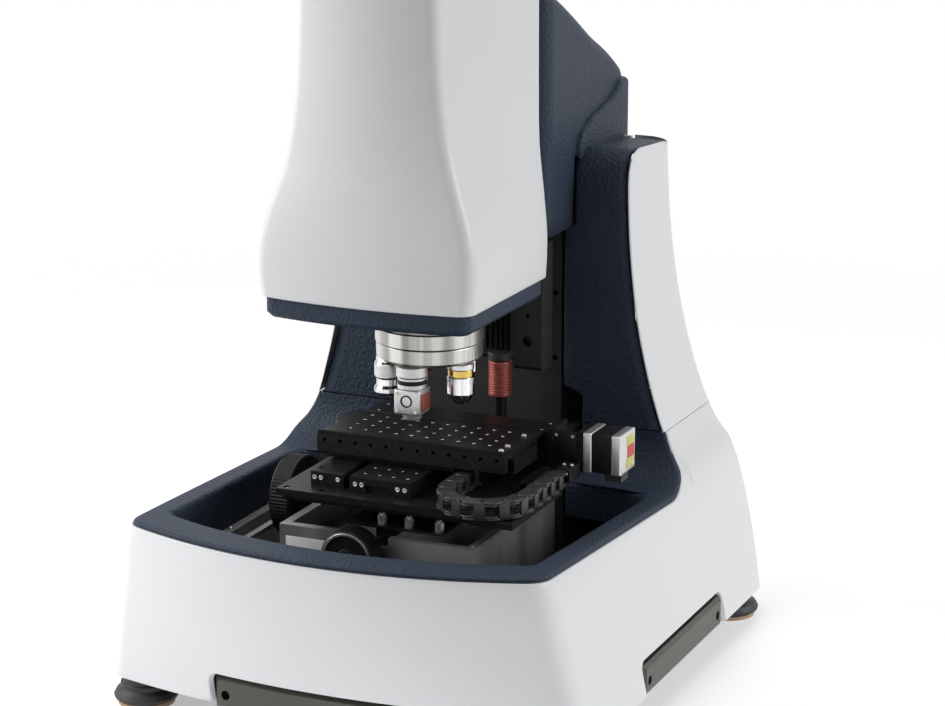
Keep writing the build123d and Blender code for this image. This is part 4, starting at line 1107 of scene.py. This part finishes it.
def grid_places(centre, pitch, counts):
    """Places on a flat grid of given pitches and counts round a centre, as x, y and z."""
    across, along = ((np.arange(count) - (count - 1) / 2) * step for count, step in zip(counts, pitch))
    first, second = np.meshgrid(across, along)
    return np.stack([first, second, first * 0], -1).reshape(-1, 3) + np.array(centre, float)


TURRET_Y = -22.0
CLUSTER = 36.0
SEAT = 287.3


def cluster_place(number):
    """Centre of one objective on the turret's circle."""
    swing = radians(-90 + number * 72)
    return CLUSTER * cos(swing), TURRET_Y + CLUSTER * sin(swing), 0.0


class PROFILER_OT_turret(bpy.types.Operator):
    """Make the turret's machined rings, their screws and the five objectives with their bands"""

    bl_idname = "profiler.turret"
    bl_label = "Turret"

    def execute(self, context):
        near, gold, _, _, left = (cluster_place(number) for number in range(5))
        axis = (0.0, TURRET_Y, 0.0)
        ring = [(12, 303.4), (47, 303.4), (47, 314.6), (46.2, 315.4), (42.2, 315.4), (42, 326), (12, 326)]
        turned("turret_ring", [*ring, ring[0]], axis, "pale", "head", count=96)
        dial = [(0, 287.5), (43, 287.5), (46.2, 290.5), (46.2, 302), (45, 303.1), (11.6, 303.1), (11.6, 310)]
        disc = turned("turret_dial", dial, axis, "pale", "turret", count=180, knurl=(60, 0.5, 290.6, 297.0))
        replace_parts(disc, "turret_disc")
        x, y = arc((0.0, TURRET_Y), CLUSTER, 15, 345, 12)
        posts = np.column_stack([x, y, x * 0 + 326.0])
        post = lathe([(0, 15.4), (2.6, 15.4), (2.6, 0)], count=16)
        copies("turret_posts", post, posts[::2], "steel", "head")
        screws("turret_screws", posts[1::2], 2.4, 2.2, "steel", "head")

        mount = [(0, SEAT), (11.6, SEAT), (11.6, 283), (11.1, 282.4)]
        turned("objective_1_mount", mount, gold, "steel", "turret")
        turned("objective_1_band", [(11.1, 282.4), (11.1, 276.4)], gold, "brass", "turret")
        sleeve = [(11.1, 276.4), (11.8, 275.6), (11.8, 261), (9, 256), (5.6, 252), (4.4, 252), (4.4, 254)]
        ribs = (24, 0.5, 270, 275.7)
        barrel = turned("objective_1_barrel", sleeve, gold, "chrome", "turret", count=144, knurl=ribs)
        lens("objective_1_lens", gold, 4.4, 252, 1.6)
        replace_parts(barrel, "objective_2")
        slim = [(0, SEAT), (10.4, SEAT), (10.4, 270), (8.6, 266), (7.4, 256), (5, 254), (4, 254), (4, 255.8)]
        for number, node in ((2, "objective_3"), (3, "objective_4")):
            name, centre = f"objective_{number}_", cluster_place(number)
            made = turned(name + "barrel", slim, centre, "chrome", "turret", knurl=(40, 0.4, 277, 284))
            lens(name + "lens", centre, 4.0, 254, 1.4)
            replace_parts(made, node)
        flared = [(0, SEAT), (10.6, SEAT), (10.6, 283), (12, 281), (12, 269), (10.4, 267.5), (10.4, 262)]
        flared += [(12.4, 259), (12.4, 255.4), (6.5, 252), (5, 252), (5, 254)]
        made = turned("objective_4_barrel", flared, left, "chrome", "turret")
        turned("objective_4_sleeve", [(12.15, 280), (12.15, 270)], left, "satin_silver", "turret")
        lens("objective_4_lens", left, 5.0, 252, 1.6)
        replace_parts(made, "objective_5")

        neck = [(0, SEAT), (13.6, SEAT), (13.6, 279), (12.4, 278), (12.4, 268.4)]
        turned("objective_0_neck", neck, near, "satin_silver", "turret")
        turned("objective_0_ring", [(12.6, 276), (12.6, 272)], near, "anodised", "turret")
        front = near[1] - 12
        low, high = (-12, front, 246.0), (12, front + 24, 268.4)
        made = box_piece("objective_0_cube", low, high, "satin_silver", "turret", edge=2.0)
        foot = [(9, 246.2), (8, 241), (3.6, 241), (3.6, 242.4)]
        turned("objective_0_foot", foot, near, "satin_silver", "turret")
        lens("objective_0_lens", near, 3.6, 241, 1.0)
        eye = [(5.4, 0.6), (5.4, -0.9), (4.3, -0.9), (4.2, 0.4), (0, 0.4)]
        turned("objective_0_window", eye, (0, front, 258.5), "anodised", "turret", axis="Y")
        low, high = (12, near[1] - 7.5, 250), (13.8, near[1] + 7.5, 264)
        box_piece("objective_0_slide", low, high, "red", "turret", edge=0.4)
        heads = [(x, front, z) for z in (265, 249.5) for x in (8.6, -8.6)]
        screws("objective_0_screws", heads, 1.3, 0.8, "steel", "turret", axis="-Y")
        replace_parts(made, "objective_1")
        return {"FINISHED"}


class PROFILER_OT_stop(bpy.types.Operator):
    """Make the stop behind the turret: a black post, a red collar with fine rings and a black cap"""

    bl_idname = "profiler.stop"
    bl_label = "Stop"

    def execute(self, context):
        place = (22.0, 80.0, 0.0)
        post = [(0, 200), (11, 200), (11, 206), (6, 207), (6, 266)]
        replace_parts(turned("stop_post", post, place, "anodised", "frame"), "z_stop_rod")
        collar = [(6.05, 229), (9.4, 229), (10.4, 230)]
        for low in np.arange(233.0, 259.0, 2.2):
            collar += [(10.4, low), (9.7, low + 0.5), (9.7, low + 1.0), (10.4, low + 1.5)]
        collar += [(10.4, 261), (9.4, 262), (6.05, 262), (6.05, 229)]
        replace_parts(turned("stop_collar", collar, place, "red", "z_stop", edge=0.12), "z_stop_collar")
        cap = [(6.05, 262.3), (10.6, 262.3), (11, 263), (11, 268.8), (10, 269.6), (0, 269.6)]
        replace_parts(turned("stop_cap", cap, place, "rubber", "frame"), "z_stop_cap")
        return {"FINISHED"}


class PROFILER_OT_knobs(bpy.types.Operator):
    """Make the two knurled adjusting knobs and the turned feet"""

    bl_idname = "profiler.knobs"
    bl_label = "Knobs and feet"

    def execute(self, context):
        front = [(0, -121), (3, -121), (3, -134.5), (19, -134.5), (19, -137), (24, -138.4), (24, -157.6)]
        front += [(22.6, -159.4), (20.6, -159.4), (20, -158.4), (8.5, -158.4), (8.5, -162), (0, -162)]
        centre, ribs = (-14.5, 0.0, 143.0), (60, 0.7, -157.4, -138.6)
        made = turned("front_knob_body", front, centre, "anodised", "front_knob", "Y", 240, ribs)
        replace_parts(made, "front_tilt_knob")
        ring = [(20.2, -159.45), (22.4, -159.45), (22.4, -159.2), (20.2, -159.2), (20.2, -159.45)]
        turned("front_knob_ring", ring, centre, "steel", "front_knob", "Y")
        left = [(0, -78), (3, -78), (3, -91.5), (9, -91.5), (9, -104), (20, -104), (20, -109)]
        left += [(34, -109), (36, -111), (36, -127), (34, -129), (24, -129), (22, -127.6), (0, -127.6)]
        centre, ribs = (0.0, -45.0, 154.0), (72, 0.9, -126.8, -111.2)
        made = turned("left_knob_body", left, centre, "anodised", "left_knob", "X", 288, ribs)
        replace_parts(made, "left_tilt_knob")
        bell = [(0, 3.5), (22, 3.5), (27, 5), (28, 8), (25.5, 12.5), (22, 15), (22, 19), (20, 20), (20, 24)]
        bell += [(18, 25.5), (18, 26)]
        places = [(x, y, 0) for y in (-188, 225.5) for x in (192.9, -192.9)]
        made = copies("feet_bells", lathe(bell, count=72), places, "rubber", "frame")
        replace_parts(made, "feet")
        return {"FINISHED"}


MOTOR_Y = 10.8
MOTOR_Z = 212.6
MOTOR_HALF = 17.6
LABEL_SEAT = 170.9
LABEL_RIGHT = 14.5
# Name, finish, left edge, lower and upper edge and front of each field on the motor's end
LABEL_FIELDS = (
    ("yellow_1", "yellow", -3.0, -14.0, -5.5, 171.3),
    ("yellow_2", "yellow", -3.0, 5.5, 14.0, 171.3),
    ("red", "label_red", -1.0, -5.5, 5.5, 171.35),
)


class PROFILER_OT_motor(bpy.types.Operator):
    """Make the drive motor: two bright end bells on a black stack, and plain label fields on its end"""

    bl_idname = "profiler.motor"
    bl_label = "Motor"

    def execute(self, context):
        y, z = MOTOR_Y, MOTOR_Z

        def stack(name, start, stop, finish, inset):
            """One slice of the motor between two places along X."""
            half = MOTOR_HALF - inset
            low, high = (start, y - half, z - half), (stop, y + half, z + half)
            return box_piece(name, low, high, finish, "y_stage", edge=1.4)

        bell = stack("motor_front_bell", 136.0, 144.5, "satin_silver", 0.0)
        stack("motor_stack", 143.0, 163.5, "anodised", 0.5)
        stack("motor_rear_bell", 162.0, 171.0, "satin_silver", 0.0)
        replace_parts(bell, "x_motor")
        places = grid_places(ORIGIN, (26, 26), (2, 2))[:, [2, 0, 1]] + (170.7, y, z)
        screws("motor_screws", places, 1.9, 0.75, "steel", "y_stage", axis="X")
        for name, finish, left, low, high, front in LABEL_FIELDS:
            corners = (LABEL_SEAT, y + left, z + low), (front, y + LABEL_RIGHT, z + high)
            box_piece("motor_label_" + name, *corners, finish, "y_stage", edge=0.1)
        return {"FINISHED"}


CHAIN_LOW = 190.2
CHAIN_HIGH = 205.8
LINK_PITCH = 18.0
LINK_RADIUS = 6.9
OUTER_PLATE = 1.9
INNER_PLATE = (2.0, 3.7)
BAR_Y = 6.2
BAR_HALF = 0.7
CHAIN_RADIUS = LINK_PITCH / 2 / sin(radians(15))
CHAIN_CENTRE = (93.5, -113.6)


def link_shapes():
    """The closed grids of one chain link: stepped round-ended plates, two crossbars and a pin cap.

    The link runs along X from its first pin at the origin to its second pin one pitch away.
    """
    low, high = CHAIN_LOW, CHAIN_HIGH
    back = np.column_stack(arc(ORIGIN, LINK_RADIUS, 90, 270, 13))
    outer = [*back, (10.0, -LINK_RADIUS), (10.0, LINK_RADIUS)]
    inner = [*((LINK_PITCH, 0.0) - back), (8.0, 6.6), (8.0, -6.6)][::-1]
    shapes = [prism(outer, low, low + OUTER_PLATE), prism(outer, high - OUTER_PLATE, high)]
    near, far = INNER_PLATE
    shapes += [prism(inner, low + near, low + far), prism(inner, high - far, high - near)]
    for y in (-BAR_Y, BAR_Y):
        shapes.append(slab((4.4, y - BAR_HALF, low + 0.1), (13.4, y + BAR_HALF, high - 0.1), 0.35))
    cap = [(0, -0.5), (1.6, -0.5), (1.6, -0.05), (3.2, -0.05), (3.2, -0.8)]
    shapes.append(lathe(cap, (0, 0, high), count=20, edge=0.1))
    return shapes


def chain_piece(name, pins, body):
    """A run of links between pin centres in plan, each turned about the upright axis to its direction."""
    grids = []
    for start, stop in zip(pins, pins[1:]):
        across, along = (np.array(stop) - np.array(start)) / LINK_PITCH
        spin = np.array([[across, along, 0.0], [-along, across, 0.0], UPRIGHT])
        grids += [shape @ spin + np.array([*start, 0.0]) * MM for shape in link_shapes()]
    return merged(name, grids, "plastic", body)


class PROFILER_OT_chain(bpy.types.Operator):
    """Make the cable chain: a fixed leg, a bend between the two legs and a moving leg"""

    bl_idname = "profiler.chain"
    bl_label = "Cable chain"

    def execute(self, context):
        x, y = CHAIN_CENTRE
        left, right = x - CHAIN_RADIUS, x + CHAIN_RADIUS
        fixed = [(left, y + LINK_PITCH * n) for n in (3, 2, 1, 0)]
        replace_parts(chain_piece("chain_fixed_run", fixed, "tilt"), "chain_fixed_leg")
        moving = [(right, y + LINK_PITCH * n) for n in range(5)]
        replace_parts(chain_piece("chain_moving_run", moving, "y_stage"), "chain_moving_leg")
        bend = np.column_stack(arc(CHAIN_CENTRE, CHAIN_RADIUS, 180, 360, 7))
        curved = chain_piece("chain_curved_run", bend, None)
        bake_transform(curved)
        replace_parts(curved, "chain_bend")
        low, high = (right - 7, -33, 192), (right + 7, -8, 204)
        clamp = box_piece("chain_clamp", low, high, "anodised", "y_stage", edge=0.8)
        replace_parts(clamp, "chain_bracket")
        ends = (right - 3.5, right + 3.5)
        screws("chain_clamp_screws", [(x, -20.0, 204.0) for x in ends], 1.9, 1.2, "steel", "y_stage")
        screws("chain_clamp_bolts", [(x, -33.0, 200.0) for x in ends], 1.6, 0.8, "steel", "y_stage", "-Y")
        low, high = (108.5, -6.7, 201.2), (130.5, -4.6, 229.6)
        box_piece("coupling_cover", low, high, "anodised", "y_stage", edge=0.4)
        heads = [(x, -6.7, 225.6) for x in (112.0, 127.0)]
        screws("coupling_cover_screws", heads, 1.5, 0.1, "steel", "y_stage", "-Y")
        return {"FINISHED"}


class PROFILER_OT_fastenings(bpy.types.Operator):
    """Make the bright screws and threads of the stage, the plain label and the bolts of the bars"""

    bl_idname = "profiler.fastenings"
    bl_label = "Fastenings"

    def execute(self, context):
        places = [(x, -120.0, 196.5) for x in (-24.0, -18.0, 15.5, 22.0)]
        screws("carriage_screws", places, 2.1, 1.2, "steel", "y_stage", "-Y")
        places = [(x, -116.5, 197.0) for x in (-64.0, -58.0, -42.0)]
        screws("stage_bar_screws", places, 2.1, 1.2, "steel", "tilt", "-Y")
        ring = [(1.55, -0.1), (1.5, -0.7), (1.15, -0.8), (1.1, -2.4), (1.55, -2.4), (1.55, -0.1)]
        thread = lathe(ring, count=14, edge=0.05)
        places = grid_places((9.5, -43.0, 227.5), (14.6, 14.6), (10, 4))
        copies("plate_threads", thread, places, "steel", "x_table")
        places = [(90.5, y, 224.5) for y in (-76.0, -62.0, -27.0)]
        screws("table_end_bolts", places, 2.4, 4.2, "steel", "x_table")
        places = grid_places((-1.5, -98.0, 202.6), (13.0, 18.0), (4, 2))
        copies("carriage_threads", thread, places, "steel", "y_stage")
        places = grid_places((-52.5, -53.0, 199.9), (20.0, 36.0), (2, 4))
        screws("stage_bar_heads", places, 2.1, 2.0, "anodised", "tilt")
        places = [(x, y, 186.2) for y in (-130.0, 38.0) for x in (-84.0, 84.0)]
        screws("tilt_plate_screws", places, 2.7, 2.2, "steel", "tilt")
        places = [(x, y, 156.2) for x in (-86.0, 86.0) for y in (-124.0, 36.0)]
        screws("tilt_base_screws", places, 1.6, 0.75, "steel", "frame")
        box_piece("plain_label", (-84.0, -133.45, 122.0), (-42.0, -133.02, 147.0), "paper", "frame", 0.15)
        screws("bracket_screws", [(x, 22.0, 200.9) for x in (110.0, 126.0)], 2.0, 1.4, "steel", "y_stage")
        places = grid_places((17.0, 12.0, 225.2), (156.0, 20.0), (2, 2))
        screws("cross_travel_screws", places, 1.7, 0.75, "steel", "y_stage")
        places = [(x, y, 128.0) for x in (-164.0, 164.0) for y in (-85.0, 45.0)]
        screws("ledge_screws", places, 2.6, 1.8, "steel", "frame")
        return {"FINISHED"}


# Stage, panel and run

# Each light's place, target and size, in metres
LIGHTS = {
    "key": ((-1.75, -0.75, 1.35), (0, 0, 0.35), 1.3),
    "side": ((2.6, 0.6, 1.4), (0, 0, 0.35), 1.2),
    "top": ((-0.2, -0.1, 2.7), (0, 0, 0.3), 1.3),
}
SENSOR = 36.0
VIEW_END = 20.0
FLOOR_HALF = 2500.0
FLOOR_FADE = (0.5, 3.2)
SKY = (0.93, 0.95, 1.0, 1.0)
PURE_WHITE = (1.0, 1.0, 1.0, 1.0)


def area_light(name, place, target, size, power):
    """A soft square light that looks at a target."""
    data = bpy.data.lights.new(name, "AREA")
    data.size = size
    data.energy = power
    light = bpy.data.objects.new(name, data)
    light.location = place
    light.rotation_euler = (Vector(target) - Vector(place)).to_track_quat("-Z", "Y").to_euler()
    bpy.context.scene.collection.objects.link(light)


class PROFILER_OT_stage(bpy.types.Operator):
    """Make the camera, the lights, the pale floor and the white background"""

    bl_idname = "profiler.stage"
    bl_label = "Stage"

    def execute(self, context):
        settings = context.scene.profiler_camera
        data = bpy.data.cameras.new("camera")
        data.lens = settings.lens
        data.sensor_width = SENSOR
        data.clip_end = VIEW_END
        camera = bpy.data.objects.new("camera", data)
        camera.location = settings.place
        camera.rotation_euler = (pi / 2 - settings.elevation, 0.0, settings.azimuth)
        context.scene.collection.objects.link(camera)
        context.scene.camera = camera
        context.scene.view_settings.view_transform = "Standard"
        for kind, row in LIGHTS.items():
            area_light(kind + " light", *row, getattr(settings, kind + "_power"))

        floor = Finish("floor", Emission_Color=PURE_WHITE, Emission_Strength=settings.floor_glow)
        where = floor.node("ShaderNodeTexCoord", output="Object")
        x, y = (floor.node("ShaderNodeSeparateXYZ", output=index, i0=where) for index in (0, 1))
        fade = (x**2.0 + y**2.0).ramp(*FLOOR_FADE)
        floor.feed(Base_Color=floor.tone(floor.noise(0.3, 1.0), PURE_WHITE[:3], 0.93, 0.95), Alpha=1.0 - fade)
        steps = np.linspace(-FLOOR_HALF, FLOOR_HALF, 3)
        across, along = np.meshgrid(steps, steps, indexing="ij")
        points = np.stack([across, along, across * 0], -1) * MM
        grid = grid_mesh("floor", points, seen_from=(0, 0, 1000))
        grid.data.materials.append(floor.material)

        world = bpy.data.worlds.new("pale sky")
        world.use_nodes = True
        context.scene.world = world
        sky = Nodes(world.node_tree)
        rays = [f"Is {kind} Ray" for kind in ("Camera", "Glossy", "Transmission")]
        seen, shiny, clear = (sky.node("ShaderNodeLightPath", output=ray) for ray in rays)
        lit = sky.node("ShaderNodeBackground", Color=SKY, Strength=settings.sky_strength)
        white = sky.node("ShaderNodeBackground", Color=PURE_WHITE)
        mixed = sky.node("ShaderNodeMixShader", i0=seen.high(shiny).high(clear), i1=lit, i2=white)
        fill(next(n for n in sky.tree.nodes if n.type == "OUTPUT_WORLD").inputs[0], mixed)
        return {"FINISHED"}


class PROFILER_PT_panel(bpy.types.Panel):
    """Settings and steps of the profiler"""

    bl_idname = "PROFILER_PT_panel"
    bl_label = "Profiler"
    bl_space_type = "VIEW_3D"
    bl_region_type = "UI"
    bl_category = "Profiler"

    def draw(self, context):
        for name in GROUPS:
            group = getattr(context.scene, name)
            for key in group.__annotations__:
                self.layout.prop(group, key)
        for step in STEPS:
            self.layout.operator(step.bl_idname)


STEPS = (
    PROFILER_OT_finishes,
    PROFILER_OT_housing,
    PROFILER_OT_side_covers,
    PROFILER_OT_head,
    PROFILER_OT_deck,
    PROFILER_OT_column,
    PROFILER_OT_hood,
    PROFILER_OT_turret,
    PROFILER_OT_stop,
    PROFILER_OT_knobs,
    PROFILER_OT_motor,
    PROFILER_OT_chain,
    PROFILER_OT_fastenings,
    PROFILER_OT_stage,
)
GROUPS = {
    "profiler_camera": ProfilerCamera,
    "profiler_colours": ProfilerColours,
    "profiler_sizes": ProfilerSizes,
}


def register():
    for item in (*GROUPS.values(), *STEPS, PROFILER_PT_panel):
        bpy.utils.register_class(item)
    for name, group in GROUPS.items():
        setattr(bpy.types.Scene, name, bpy.props.PointerProperty(type=group))


def unregister():
    for name in GROUPS:
        delattr(bpy.types.Scene, name)
    for item in reversed((*GROUPS.values(), *STEPS, PROFILER_PT_panel)):
        bpy.utils.unregister_class(item)


def main():
    """Register and run each step."""
    register()
    bpy.ops.profiler.finishes()
    bpy.ops.profiler.housing()
    bpy.ops.profiler.side_covers()
    bpy.ops.profiler.head()
    bpy.ops.profiler.deck()
    bpy.ops.profiler.column()
    bpy.ops.profiler.hood()
    bpy.ops.profiler.turret()
    bpy.ops.profiler.stop()
    bpy.ops.profiler.knobs()
    bpy.ops.profiler.motor()
    bpy.ops.profiler.chain()
    bpy.ops.profiler.fastenings()
    bpy.ops.profiler.stage()


if __name__ == "__main__":
    main()
